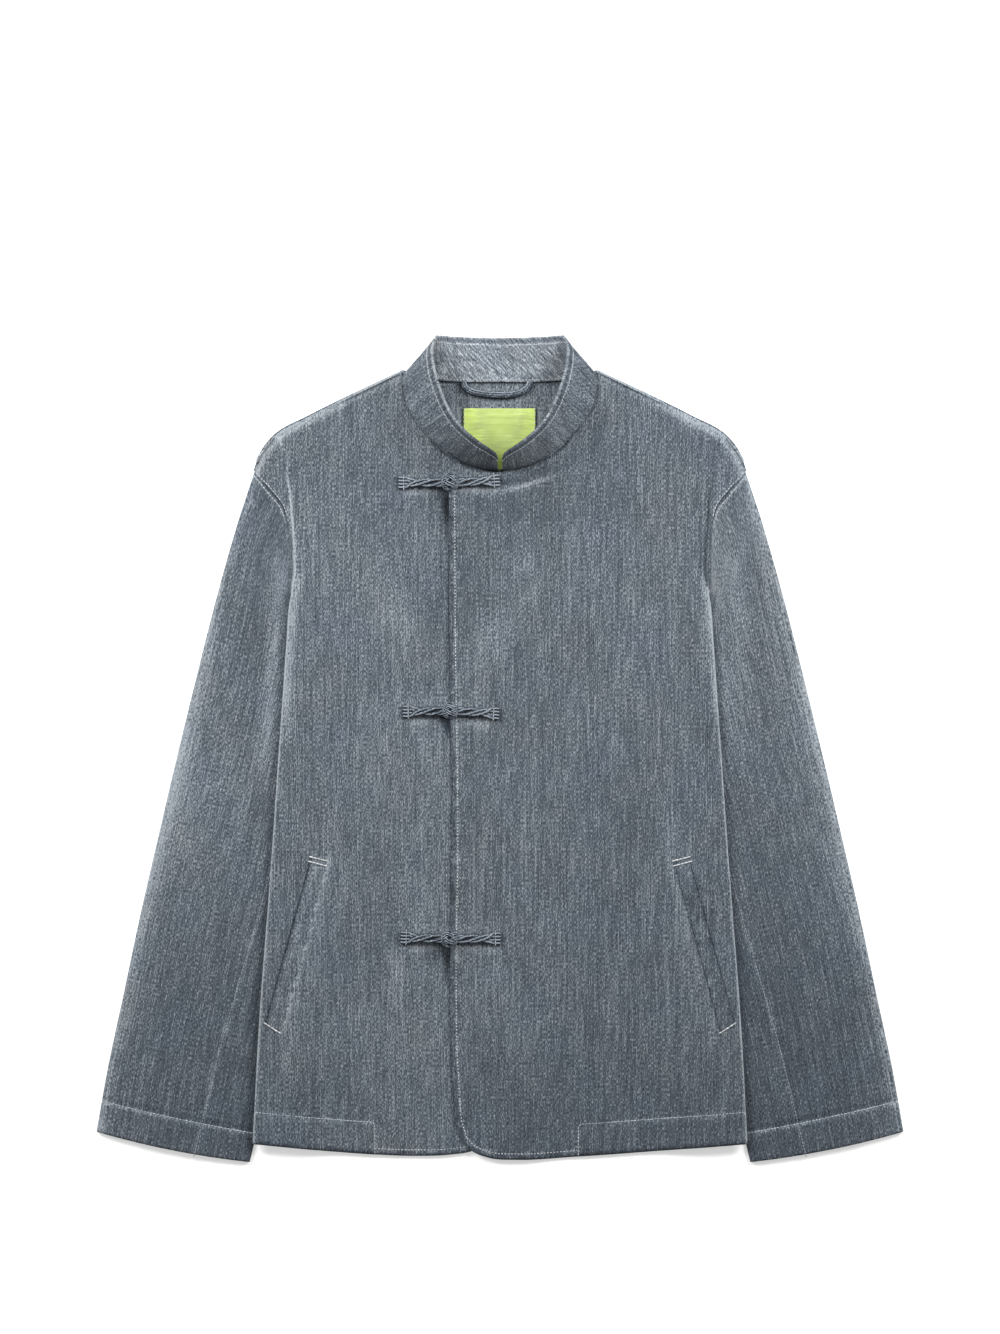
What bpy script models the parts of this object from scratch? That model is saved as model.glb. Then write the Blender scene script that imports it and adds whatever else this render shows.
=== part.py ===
"""Mandarin collar jacket laid flat on its back, sleeves tucked behind the body.

Sizes are millimetres. X runs across the jacket, Y from hem to collar and Z up from
the floor. Tables give the wearer's left half, and the other half mirrors it.
"""

import math
from collections import namedtuple

import bmesh
import bpy
import numpy as np

MM = 0.001
DENIM_HEX = "717983"
LABEL_HEX = "CDE585"

# Cloth and how the layers lie on each other
WALL = 1.2
COLLAR_WALL = 2.4
LABEL_WALL = 0.7
LAID_ON = 0.3
SEAM_SHIFT = 0.5
BODY_AIR = 1.4
SLEEVE_RAISE = 6.3
RAISE_RAMP = 60.0
FRONT_TOP = WALL + BODY_AIR + WALL
OVERLAP_RAISE = 1.9
OVERLAP_FLAT_TO = 12.0
OVERLAP_FADED_BY = 60.0
ARMHOLE_FADE_FROM = 120.0
ARMHOLE_FADE_TO = 285.0

# Sleeve tube: the height of its folded edges and of its crown
SLEEVE_EDGE = 3.8
SLEEVE_FOLD_STEPS = 4
SLEEVE_LOWER_STEPS = 4
SLEEVE_UPPER_STEPS = 12

# Side folds of the fronts
FOLD_INSET = 2.0
FOLD_ARC_STEPS = 6
FOLD_RUN_STEPS = 2
FOLD_LEAST_RUN = 1.0

# Grid steps of the panels, and how close to a side its shape is held
SIDE_HOLD = 4
BODY_ROWS = 12
ARMHOLE_ROWS = 12
OVERLAP_COLUMNS = 3
NECK_COLUMNS = 6
SHOULDER_COLUMNS = 6
BACK_SHOULDER_COLUMNS = 7
COLLAR_STEPS = 30
COLLAR_RISE_STEPS = 4

# Straps and knots of the frog fastenings
STRAND = 3.2
STRAND_APART = 2.6
STRAP_SQUASH = 0.72
STRAP_TURNS = 0.7
STRAP_STEPS = 12
STRAP_SIDES = 12
STRAP_CLEAR = 0.45
KNOT_SQUASH = 0.85
KNOT_RELIEF = 0.05
KNOT_CLEAR = 0.4

# Hanger loop, neck label and pocket welts
LOOP_WIDTH = 6.4
LOOP_THICK = 2.2
LOOP_STEPS = 16
LOOP_SIDES = 8
LABEL_LEFT, LABEL_RIGHT = -34.0, 33.0
LABEL_TOP, LABEL_BOTTOM = 312.8, 256.4
WELT_WALL = 1.4
WELT_STEPS = 10

Ring = namedtuple("Ring", "outer_x outer_y inner_x inner_y rise")
SideRow = namedtuple("SideRow", "fold_x fold_y end_x end_y end_z")
CollarRow = namedtuple("CollarRow", "base_x base_y base_z top_x top_y top_z")
Point = namedtuple("Point", "x y")
Frog = namedtuple("Frog", "knot_x knot_y knot_r loop_x loop_y tail_x tail_y")
Corner = namedtuple("Corner", "x y")
Fold = namedtuple("Fold", "from_x from_y to_x to_y half_width height")

# Armhole seam from the shoulder point to the underarm
ARMHOLE = [
    Point(226.0, 254.5),
    Point(211.5, 237.5),
    Point(199.5, 222.5),
    Point(195.6, 207.0),
    Point(194.9, 186.0),
    Point(194.6, 163.0),
    Point(193.6, 143.0),
]
UNDERARM = ARMHOLE[-1]

# Flat rings of the sleeve below the armhole, each from its outer to its inner edge
SLEEVE = [
    Ring(239.5, 213.0, 183.0, 121.0, 5.2),
    Ring(251.0, 174.0, 166.0, 96.0, 5.1),
    Ring(264.0, 126.0, 147.0, 65.0, 5.0),
    Ring(278.6, 68.0, 134.0, 27.0, 5.0),
    Ring(296.6, -5.5, 140.0, -42.0, 5.0),
    Ring(313.8, -79.0, 158.5, -115.0, 5.0),
    Ring(331.0, -154.0, 179.5, -189.0, 5.0),
    Ring(346.6, -228.0, 200.0, -262.0, 5.0),
    Ring(360.5, -293.0, 217.0, -325.0, 5.0),
    Ring(371.0, -352.0, 230.0, -380.0, 5.0),
]
# Long soft folds on the upper side of the sleeve
SLEEVE_FOLDS = [
    Fold(208.0, 204.0, 243.0, -30.0, 17.0, 1.2),
    Fold(293.0, -60.0, 331.0, -250.0, 20.0, 1.0),
]
CUFF_BOW = 3.0

# Front side edge from hem to shoulder: where it folds, and where the cloth ends
SIDE = [
    SideRow(227.0, -363.0, 197.0, -361.5, 6.3),
    SideRow(223.5, -290.0, 193.5, -290.0, 6.3),
    SideRow(220.0, -232.0, 190.0, -232.0, 6.3),
    SideRow(214.0, -155.0, 184.0, -155.0, 6.3),
    SideRow(208.8, -85.0, 179.5, -85.0, 6.3),
    SideRow(204.0, -15.0, 176.5, -15.0, 6.3),
    SideRow(199.8, 45.0, 176.5, 45.0, 6.3),
    SideRow(196.0, 100.0, 181.5, 99.0, 6.3),
    SideRow(193.6, 132.0, 189.0, 131.0, 6.2),
    SideRow(190.6, 149.0, 193.0, 148.5, 6.4),
    SideRow(188.6, 163.0, 193.9, 163.0, 5.3),
    SideRow(189.4, 186.0, 194.4, 186.0, 5.2),
    SideRow(191.0, 207.0, 195.2, 207.2, 5.0),
    SideRow(192.4, 225.0, 199.2, 223.0, 4.9),
    SideRow(194.2, 244.0, 211.2, 237.9, 4.4),
    SideRow(197.0, 264.0, 225.2, 255.6, 3.8),
    SideRow(200.0, 277.0, 218.4, 271.5, 3.8),
    SideRow(203.4, 287.4, 206.4, 286.6, 3.8),
]
UNDERARM_ROW = 8

# Neck seam under the collar from centre front to the shoulder seam
NECK = [
    Point(2.6, 254.4),
    Point(15.0, 255.4),
    Point(37.8, 263.6),
    Point(55.6, 275.4),
    Point(72.2, 295.0),
    Point(83.6, 312.0),
    Point(90.6, 330.0),
    Point(91.2, 345.6),
]
SHOULDER = [
    Point(91.2, 345.6),
    Point(139.0, 322.2),
    Point(175.0, 304.4),
    Point(203.4, 287.4),
]
# Front edge and hem of the over front, with its rounded lower corner
OVER_EDGE = [
    Point(-35.0, -361.0),
    Point(-40.5, -343.0),
    Point(-42.5, -318.0),
    Point(-44.3, -47.0),
    Point(-46.5, 118.0),
    Point(-47.0, 246.0),
]
OVER_HEM = [
    Point(-35.0, -361.0),
    Point(-26.0, -369.6),
    Point(-10.0, -376.0),
    Point(17.0, -377.8),
    Point(71.3, -375.0),
    Point(227.0, -363.0),
]
OVER_TOP = [Point(-47.0, 246.0), Point(-25.0, 251.6), Point(2.6, 254.4)]
# The same edges of the front beneath it
UNDER_EDGE = [
    Point(11.0, -361.0),
    Point(4.6, -347.0),
    Point(2.6, -325.0),
    Point(2.6, -47.0),
    Point(2.6, 254.4),
]
UNDER_HEM = [
    Point(11.0, -361.0),
    Point(26.0, -370.0),
    Point(44.0, -373.0),
    Point(78.0, -374.4),
    Point(116.0, -373.0),
    Point(227.0, -363.0),
]

# Back panel: neck seam, shoulder fold, armhole, side seam and hem
BACK_NECK = [
    Point(0.0, 335.8),
    Point(30.0, 335.8),
    Point(56.0, 337.2),
    Point(76.0, 340.9),
    Point(87.6, 345.4),
]
BACK_SHOULDER = [
    Point(90.0, 348.2),
    Point(139.0, 325.0),
    Point(175.0, 307.0),
    Point(209.0, 287.6),
    Point(221.6, 270.4),
    Point(226.4, 255.6),
]
BACK_SIDE = [
    Point(196.4, -357.0),
    Point(189.4, -232.0),
    Point(178.9, -85.0),
    Point(175.6, -10.0),
    Point(175.4, 45.0),
    Point(180.2, 98.0),
    Point(185.0, 130.0),
    Point(186.2, 160.0),
    Point(187.4, 186.0),
    Point(190.6, 207.0),
    Point(198.4, 222.6),
    Point(211.0, 238.4),
    Point(226.4, 255.6),
]
BACK_HEM_DIP = 12.0
SHOULDER_CURL = 1.5
SHOULDER_CURL_WIDTH = 16.0

# Collar band from centre back to the front end: seam at its base, rim at its top
COLLAR = [
    CollarRow(0.0, 337.0, 1.5, 0.0, 377.6, 1.8),
    CollarRow(30.0, 337.0, 1.5, 28.0, 378.2, 2.0),
    CollarRow(56.0, 338.6, 1.5, 47.0, 379.2, 2.6),
    CollarRow(75.0, 342.2, 1.8, 55.0, 379.6, 4.0),
    CollarRow(84.6, 345.0, 2.3, 58.6, 377.8, 7.0),
    CollarRow(88.6, 342.4, 3.0, 61.0, 372.0, 11.5),
    CollarRow(89.0, 334.0, 3.7, 61.8, 362.0, 18.0),
    CollarRow(86.8, 322.0, 4.4, 59.4, 346.0, 25.0),
    CollarRow(80.6, 308.0, 4.8, 54.0, 328.0, 29.5),
    CollarRow(69.6, 293.6, 4.8, 45.6, 308.0, 32.5),
    CollarRow(54.0, 277.4, 4.8, 33.6, 292.0, 34.5),
    CollarRow(37.0, 265.4, 4.8, 21.4, 281.4, 35.0),
    CollarRow(15.0, 257.4, 4.8, 9.6, 273.2, 34.5),
    CollarRow(2.3, 256.2, 4.8, 2.5, 268.6, 30.0),
]

FROGS = [
    Frog(-45.8, 244.2, 8.8, -94.0, 244.6, 0.5, 246.6),
    Frog(-45.6, 34.6, 7.9, -90.0, 34.2, 0.0, 32.4),
    Frog(-46.4, -174.4, 8.5, -92.0, -173.2, 1.4, -173.8),
]
# Welt corners in order: opening top, opening bottom, sewn bottom, sewn top
WELT = [
    Corner(173.0, -99.4),
    Corner(215.2, -252.2),
    Corner(202.2, -260.6),
    Corner(158.8, -103.0),
]
# Hanger loop's middle line, sewn in at both ends beside the collar seam
LOOP = [
    Point(-33.4, 335.2),
    Point(-31.6, 331.4),
    Point(-25.6, 328.2),
    Point(-14.0, 325.8),
    Point(-2.0, 325.0),
    Point(10.0, 325.4),
    Point(19.6, 327.8),
    Point(25.4, 331.6),
    Point(27.2, 335.2),
]


def linear(hex_colour):
    """Linear colour of an sRGB hex colour."""
    parts = [int(hex_colour[i : i + 2], 16) / 255 for i in (0, 2, 4)]
    return [c / 12.92 if c < 0.04045 else ((c + 0.055) / 1.055) ** 2.4 for c in parts]


def smooth(t):
    """Eased step from 0 to 1."""
    t = min(max(t, 0.0), 1.0)
    return t * t * (3.0 - 2.0 * t)


def curve(points, fractions):
    """Rows of a smooth line through points, at fractions of its length in plan."""
    knots = np.array(points, float)
    span = np.linalg.norm(np.diff(knots[:, :2], axis=0), axis=1)
    along = np.concatenate([[0.0], np.cumsum(span)])
    slope = np.gradient(knots, along, axis=0)
    fine = np.linspace(0.0, along[-1], 20 * len(span) + 1)
    k = np.clip(np.searchsorted(along, fine, side="right") - 1, 0, len(span) - 1)
    step = span[k][:, None]
    t = (fine - along[k])[:, None] / step
    start = (2 * t**3 - 3 * t**2 + 1) * knots[k] + (t**3 - 2 * t**2 + t) * step * slope[k]
    stop = (3 * t**2 - 2 * t**3) * knots[k + 1] + (t**3 - t**2) * step * slope[k + 1]
    line = start + stop
    run = np.linalg.norm(np.diff(line[:, :2], axis=0), axis=1)
    length = np.concatenate([[0.0], np.cumsum(run)])
    wanted = np.array(fractions) * length[-1]
    return np.stack([np.interp(wanted, length, line[:, c]) for c in range(line.shape[1])], 1)


def even(steps):
    return np.linspace(0.0, 1.0, steps + 1)


def joined(*runs):
    """Edge made of smooth runs that meet at corners."""
    parts = [runs[0]] + [run[1:] for run in runs[1:]]
    return np.concatenate(parts)


def patch(bottom, top, left, right, across, up):
    """Grid ruled from bottom to top, then drawn out to its two sides."""
    u = np.array(across)[None, :, None]
    v = np.array(up)[:, None, None]
    grid = (1 - v) * bottom[None] + v * top[None]
    to_left = left[:, None] - grid[:, :1]
    to_right = right[:, None] - grid[:, -1:]
    return grid + to_left * (1 - u) ** SIDE_HOLD + to_right * u**SIDE_HOLD


def lengths(edge):
    """Fractions of an edge's length at its points."""
    run = np.concatenate([[0.0], np.cumsum(np.linalg.norm(np.diff(edge, axis=0), axis=1))])
    return run / run[-1]


INNER_EDGE = sorted(
    [(UNDERARM.y, UNDERARM.x)] + [(ring.inner_y, ring.inner_x) for ring in SLEEVE]
)
SEAM_EDGE = [(row.end_y, row.end_x) for row in SIDE[: UNDERARM_ROW + 1]]
FOLD_EDGE = [(row.fold_y, row.fold_x) for row in SIDE]


def edge_at(edge, y):
    """X of an edge given as (y, x) pairs, at a height on the jacket."""
    return float(np.interp(y, [p[0] for p in edge], [p[1] for p in edge]))


def tucked_sleeve(x, y):
    """Share of the full raise that the sleeve beneath gives the body."""
    if y < UNDERARM.y:
        away = min(edge_at(INNER_EDGE, y), edge_at(SEAM_EDGE, y)) - abs(x)
    else:
        away = math.hypot(UNDERARM.x - abs(x), y - UNDERARM.y)
    return smooth(1.0 - away / RAISE_RAMP)


def armhole_ridge(x, y):
    """Share of the raise along the front armhole, dying away to the shoulder."""
    away = edge_at(FOLD_EDGE, y) - abs(x)
    fade = smooth((ARMHOLE_FADE_TO - y) / (ARMHOLE_FADE_TO - ARMHOLE_FADE_FROM))
    return smooth(1.0 - away / RAISE_RAMP) * fade


def back_under(x, y):
    """Height of the back panel's underside."""
    return SLEEVE_RAISE * tucked_sleeve(x, y)


def front_top(x, y, side):
    """Height of a front panel's face; the wearer's left one overlaps the other."""
    lift = 1.0 - (1.0 - tucked_sleeve(x, y)) * (1.0 - armhole_ridge(x, y))
    height = FRONT_TOP + SLEEVE_RAISE * lift
    if side > 0:
        reach = (OVERLAP_FADED_BY - x) / (OVERLAP_FADED_BY - OVERLAP_FLAT_TO)
        height += OVERLAP_RAISE * smooth(reach)
    return height


def fold_height(folds, x, y):
    """Height that soft folds add, each fading out at its ends and sides."""
    total = 0.0
    for fold in folds:
        along_x, along_y = fold.to_x - fold.from_x, fold.to_y - fold.from_y
        length = math.hypot(along_x, along_y)
        t = ((x - fold.from_x) * along_x + (y - fold.from_y) * along_y) / length**2
        off = abs((x - fold.from_x) * along_y - (y - fold.from_y) * along_x) / length
        ends = smooth(t / 0.3) * smooth((1.0 - t) / 0.3)
        total += fold.height * ends * smooth(1.0 - off / fold.half_width)
    return total


def fabric(name, hex_colour):
    made = bpy.data.materials.new(name)
    made.use_nodes = True
    shader = made.node_tree.nodes["Principled BSDF"]
    shader.inputs["Base Color"].default_value = (*linear(hex_colour), 1.0)
    shader.inputs["Roughness"].default_value = 0.9
    return made


def placed(name, mesh, hex_colour):
    piece = bpy.data.objects.new(name, mesh)
    bpy.context.scene.collection.objects.link(piece)
    mesh.materials.append(fabric(name + "_cloth", hex_colour))
    return piece


def cloth(name, grid, wall, hex_colour=DENIM_HEX, tube=False, middle=False):
    """Piece of cloth: a grid of face points with its wall laid behind the face."""
    rows, columns = grid.shape[:2]
    spans = columns if tube else columns - 1
    faces = []
    for j in range(rows - 1):
        for i in range(spans):
            n = (i + 1) % columns
            below, above = j * columns, (j + 1) * columns
            faces.append((below + i, below + n, above + n, above + i))
    mesh = bpy.data.meshes.new(name)
    mesh.from_pydata((grid.reshape(-1, 3) * MM).tolist(), [], faces)
    piece = placed(name, mesh, hex_colour)
    thick = piece.modifiers.new("wall", "SOLIDIFY")
    thick.thickness = wall * MM
    thick.offset = 0.0 if middle else -1.0
    return piece


def sweep(name, path, section, hex_colour=DENIM_HEX):
    """Closed body of sections set across a path that runs along the floor plan."""
    points = np.array(path, float)
    ahead = np.gradient(points, axis=0)
    ahead /= np.linalg.norm(ahead, axis=1)[:, None]
    shape = bmesh.new()
    rings = []
    for k, (centre, way) in enumerate(zip(points, ahead)):
        aside = np.array([way[1], -way[0], 0.0])
        aside /= np.linalg.norm(aside)
        lift = np.cross(aside, way)
        ring = []
        for across, up in section(k / (len(points) - 1)):
            ring.append(shape.verts.new((centre + across * aside + up * lift) * MM))
        rings.append(ring)
    count = len(rings[0])
    for first, second in zip(rings, rings[1:]):
        for i in range(count):
            n = (i + 1) % count
            shape.faces.new((first[i], first[n], second[n], second[i]))
    shape.faces.new(rings[0][::-1])
    shape.faces.new(rings[-1])
    bmesh.ops.recalc_face_normals(shape, faces=shape.faces)
    mesh = bpy.data.meshes.new(name)
    shape.to_mesh(mesh)
    shape.free()
    return placed(name, mesh, hex_colour)


def mirrored(grid, side):
    """Grid of the wearer's left or right half, faces kept outward."""
    if side > 0:
        return grid
    return (grid * np.array([-1.0, 1.0, 1.0]))[:, ::-1]


def sleeve(name, side):
    """Sleeve: a tube pressed flat, open at the armhole and at the cuff."""
    upper = even(SLEEVE_UPPER_STEPS)
    radius = SLEEVE_EDGE / 2
    turn = np.radians(np.linspace(-90, 90, SLEEVE_FOLD_STEPS + 1))[1:-1]
    rings = [SLEEVE[0]._replace(rise=5.1)] + SLEEVE
    grid = []
    for k, ring in enumerate(rings):
        outer = np.array([ring.outer_x, ring.outer_y])
        inner = np.array([ring.inner_x, ring.inner_y])
        if k == 0:
            outer, inner = np.array(ARMHOLE[0]), np.array(ARMHOLE[-1])
        width = np.linalg.norm(inner - outer)
        way = (inner - outer) / width
        start, stop = radius / width, 1 - radius / width
        profile = [(f, 0.0) for f in np.linspace(start, stop, SLEEVE_LOWER_STEPS + 1)]
        profile += [(stop + radius * math.cos(a) / width, radius + radius * math.sin(a)) for a in turn]
        for f in upper[::-1]:
            crown = 1.0 - abs(2 * f - 1) ** 3
            profile.append((start + f * (stop - start), SLEEVE_EDGE + (ring.rise - SLEEVE_EDGE) * crown))
        profile += [(start - radius * math.cos(a) / width, radius + radius * math.sin(a)) for a in -turn]
        points = []
        for f, z in profile:
            x, y = outer + f * width * way
            if k == 0:
                x, y = curve(ARMHOLE, [min(max(f, 0.0), 1.0)])[0] + [SEAM_SHIFT, -SEAM_SHIFT]
            if k == len(rings) - 1:
                y -= CUFF_BOW * 4 * f * (1 - f)
            if z > SLEEVE_EDGE:
                z += fold_height(SLEEVE_FOLDS, x, y)
            points.append((x, y, z))
        grid.append(points)
    cloth(name, mirrored(np.array(grid)[:, ::-1], side), WALL, tube=True)


def side_fold(row, side):
    """Points from a front's face round its side fold to the end of the cloth."""
    fold_x, fold_y, end_x, end_y, end_z = row
    begin = np.array([fold_x - FOLD_INSET, fold_y, front_top(fold_x - FOLD_INSET, fold_y, side)])
    out = max(end_x - begin[0] - FOLD_LEAST_RUN, 0.0)
    turn = np.array([begin[0] + out, end_y + (fold_y - end_y) * 0.5, end_z])
    half = abs(begin[2] - end_z) / 2
    flat = min(out / (3 * half + 0.001), 1.0)
    reach = (1 - flat) * 4 * half / 3 + flat * out / 2
    back = (1 - flat) * 4 * half / 3 - flat * out / 2
    first = begin + [reach, 0.0, 0.0]
    second = turn + [back, 0.0, 0.0]
    points = []
    for t in even(FOLD_ARC_STEPS)[1:]:
        s = 1 - t
        points.append(s**3 * begin + 3 * s * s * t * first + 3 * s * t * t * second + t**3 * turn)
    end = np.array([end_x, end_y, end_z])
    for t in even(FOLD_RUN_STEPS)[1:]:
        points.append(turn + (end - turn) * t)
    return begin, points


def side_fractions():
    """Row heights of the fronts as fractions of the side edge, closer at the armhole."""
    run = lengths(np.array([(row.fold_x, row.fold_y) for row in SIDE]))
    part = run[UNDERARM_ROW]
    return np.concatenate([even(BODY_ROWS) * part, part + even(ARMHOLE_ROWS)[1:] * (1 - part)])


def front(name, side, edge, hem, top_run):
    """Front panel from its opening edge round the side fold to the side seam."""
    up = side_fractions()
    folds = [side_fold(row, side) for row in curve(SIDE, up)]
    right = np.array([begin[:2] for begin, _ in folds])
    shoulder = SHOULDER[:-1] + [Point(*right[-1])]
    top = [curve(NECK, even(NECK_COLUMNS)), curve(shoulder, even(SHOULDER_COLUMNS))]
    if top_run:
        top = [curve(top_run, even(OVERLAP_COLUMNS))] + top
    top = joined(*top)
    across = even(len(top) - 1)
    bottom = curve(hem[:-1] + [Point(*right[0])], across)
    left = curve(edge, up)
    plan = patch(bottom, top, left, right, across, up)
    grid = []
    for row, (begin, tail) in zip(plan, folds):
        face = [(x, y, front_top(x, y, side)) for x, y in row[:-1]]
        grid.append(face + [tuple(begin)] + [tuple(p) for p in tail])
    cloth(name, mirrored(np.array(grid), side), WALL)


def back(name):
    """Back panel: its underside lies on the floor and climbs over the sleeves."""
    part = lengths(np.array(BACK_SIDE))[6]
    up = np.concatenate([even(BODY_ROWS) * part, part + even(ARMHOLE_ROWS)[1:] * (1 - part)])
    neck = curve(BACK_NECK, even(NECK_COLUMNS))
    slope = curve(BACK_SHOULDER, even(BACK_SHOULDER_COLUMNS))
    half = np.concatenate([neck, slope])
    flip = np.array([-1.0, 1.0])
    top = np.concatenate([(half * flip)[::-1][:-1], half])
    across = even(len(top) - 1)
    right = curve(BACK_SIDE, up)
    corner = right[0]
    dips = [BACK_HEM_DIP * (1 - (2 * u - 1) ** 2) for u in across]
    bottom = np.array([((2 * u - 1) * corner[0], corner[1] - dip) for u, dip in zip(across, dips)])
    plan = patch(bottom, top, right * flip, right, across, up)
    edge = curve(BACK_SHOULDER, even(60))
    grid = []
    for row in plan:
        points = []
        for x, y in row:
            near = np.min(np.hypot(edge[:, 0] - abs(x), edge[:, 1] - y))
            beside = smooth((abs(x) - NECK[-1].x) / SHOULDER_CURL_WIDTH)
            curl = SHOULDER_CURL * smooth(1.0 - near / SHOULDER_CURL_WIDTH) * beside
            points.append((x, y, back_under(x, y) + curl))
        grid.append(points)
    cloth(name, np.array(grid)[:, ::-1], WALL)


def collar(name):
    """Stand collar: one band, flat behind the neck and standing at the front."""
    half = curve(COLLAR, even(COLLAR_STEPS // 2))
    other = half[::-1][:-1] * np.array([-1.0, 1.0, 1.0, -1.0, 1.0, 1.0])
    grid = []
    for row in np.concatenate([other, half]):
        base, top = row[:3], row[3:]
        grid.append([base + (top - base) * t for t in even(COLLAR_RISE_STEPS)])
    cloth(name, np.array(grid), COLLAR_WALL, middle=True)


def pocket_welt(name, side):
    """Welt of a slanted pocket, laid on the front panel."""
    top_open, low_open, low_sewn, top_sewn = (np.array(corner) for corner in WELT)
    grid = []
    for v in even(WELT_STEPS):
        sewn = low_sewn + (top_sewn - low_sewn) * v
        opening = low_open + (top_open - low_open) * v
        row = []
        for u in even(2):
            x, y = sewn + (opening - sewn) * u
            row.append((x, y, front_top(x, y, side) + LAID_ON + WELT_WALL))
        grid.append(row)
    cloth(name, mirrored(np.array(grid), side), WELT_WALL)


def neck_label(name):
    """Bare neck label laid inside the back."""
    grid = []
    for y in np.linspace(LABEL_BOTTOM, LABEL_TOP, 5):
        row = []
        for x in np.linspace(LABEL_LEFT, LABEL_RIGHT, 5):
            row.append((x, y, back_under(x, y) + WALL + LAID_ON + LABEL_WALL))
        grid.append(row)
    cloth(name, np.array(grid), LABEL_WALL, LABEL_HEX)


def hanger_loop(name):
    """Flat loop hung from the back neck seam."""
    height = WALL + LAID_ON + LOOP_THICK / 2
    path = [(x, y, height) for x, y in curve(LOOP, even(LOOP_STEPS))]

    def section(_):
        turns = 2 * np.pi * np.arange(LOOP_SIDES) / LOOP_SIDES + np.pi / LOOP_SIDES
        return [(LOOP_WIDTH / 2 * math.cos(a), LOOP_THICK / 2 * math.sin(a)) for a in turns]

    sweep(name, path, section)


def strap(name, start, stop, side):
    """Half of a frog: two cloth cords twisted together and sewn to the front."""
    reach = (STRAND + STRAND_APART) * STRAP_SQUASH
    path = []
    for t in even(STRAP_STEPS):
        x, y = np.array(start) + (np.array(stop) - np.array(start)) * t
        path.append((x, y, front_top(x, y, side) + STRAP_CLEAR + reach))

    def section(t):
        tip = 0.78 + 0.22 * smooth(min(t, 1 - t) / 0.12)
        points = []
        for a in 2 * np.pi * np.arange(STRAP_SIDES) / STRAP_SIDES:
            lobe = a - 2 * np.pi * STRAP_TURNS * t
            bulge = STRAND**2 - (STRAND_APART * math.sin(lobe)) ** 2
            radius = tip * (STRAND_APART * abs(math.cos(lobe)) + math.sqrt(bulge))
            points.append((radius * math.cos(a), radius * STRAP_SQUASH * math.sin(a)))
        return points

    sweep(name, path, section)


def knot(name, frog):
    """Ball knot of a frog, its cords shown as low bands across the ball."""
    shape = bmesh.new()
    bmesh.ops.create_icosphere(shape, subdivisions=3, radius=1.0)
    height = front_top(frog.knot_x, frog.knot_y, 1) + KNOT_CLEAR + frog.knot_r * KNOT_SQUASH
    for vert in shape.verts:
        x, y, z = vert.co
        bands = math.cos(5.0 * (x + y)) * math.cos(5.0 * (x - y))
        size = frog.knot_r * (1.0 - KNOT_RELIEF + KNOT_RELIEF * bands * max(z, 0.0))
        place = (frog.knot_x + x * size, frog.knot_y + y * size, height + z * size * KNOT_SQUASH)
        vert.co = [c * MM for c in place]
    mesh = bpy.data.meshes.new(name)
    shape.to_mesh(mesh)
    shape.free()
    placed(name, mesh, DENIM_HEX)


for old in list(bpy.data.objects):
    bpy.data.objects.remove(old, do_unlink=True)

back("back_panel")
front("front_left", 1, OVER_EDGE, OVER_HEM, OVER_TOP)
front("front_right", -1, UNDER_EDGE, UNDER_HEM, None)
sleeve("sleeve_left", 1)
sleeve("sleeve_right", -1)
collar("collar_band")
pocket_welt("pocket_welt_left", 1)
pocket_welt("pocket_welt_right", -1)
neck_label("neck_label")
hanger_loop("hanger_loop")
for number, frog in enumerate(FROGS, 1):
    near = frog.knot_r + 0.6
    strap(f"frog_{number}_loop", (frog.loop_x, frog.loop_y), (frog.knot_x - near, frog.knot_y), -1)
    strap(f"frog_{number}_tail", (frog.knot_x + near, frog.knot_y), (frog.tail_x, frog.tail_y), 1)
    knot(f"frog_{number}_knot", frog)
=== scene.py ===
"""Mandarin collar jacket laid flat: its cloth, sewing, frog fastenings, light and camera.

Sizes are millimetres in the part's own frame: X across the jacket, Y from hem to collar
and Z up from the floor. They become metres when a mesh is made. Tables of the cut give
the wearer's left half, on the viewer's right, and the other half mirrors it. Tables of creases,
and of wash with painted light and shade, give the jacket as it lies, with X to the viewer's right.
"""

import math
from collections import namedtuple

import bpy
import numpy as np
from mathutils.kdtree import KDTree
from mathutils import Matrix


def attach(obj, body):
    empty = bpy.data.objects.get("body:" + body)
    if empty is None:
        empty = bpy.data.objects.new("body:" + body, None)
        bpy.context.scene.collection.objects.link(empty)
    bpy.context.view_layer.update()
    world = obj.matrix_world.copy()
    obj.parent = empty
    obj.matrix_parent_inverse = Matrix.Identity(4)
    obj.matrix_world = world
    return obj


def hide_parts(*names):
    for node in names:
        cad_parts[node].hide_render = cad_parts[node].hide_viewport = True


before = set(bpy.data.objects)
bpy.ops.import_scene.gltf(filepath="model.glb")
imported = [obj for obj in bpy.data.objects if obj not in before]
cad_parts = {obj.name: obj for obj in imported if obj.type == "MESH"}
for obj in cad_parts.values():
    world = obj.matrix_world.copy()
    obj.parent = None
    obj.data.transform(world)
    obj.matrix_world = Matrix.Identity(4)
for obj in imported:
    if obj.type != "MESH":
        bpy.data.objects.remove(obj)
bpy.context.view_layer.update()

MM = 0.001
LEFT, RIGHT = 1, -1

# The photograph's frame on the floor: its height and its middle
VIEW_HEIGHT, VIEW_MIDDLE_Y = 1227.3, 75
LENS_MM, SENSOR_MM = 100, 36

# The studio, in metres: half the floor's width, and two soft boxes alike
FLOOR_HALF = 14
SOFT_BOX_PLACE, SOFT_BOX_SIZE = (1.35, 0.95, 1.05), (0.7, 0.9)
SOFT_BOX_WATTS, WORLD_STRENGTH = 39, 0.27

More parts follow.
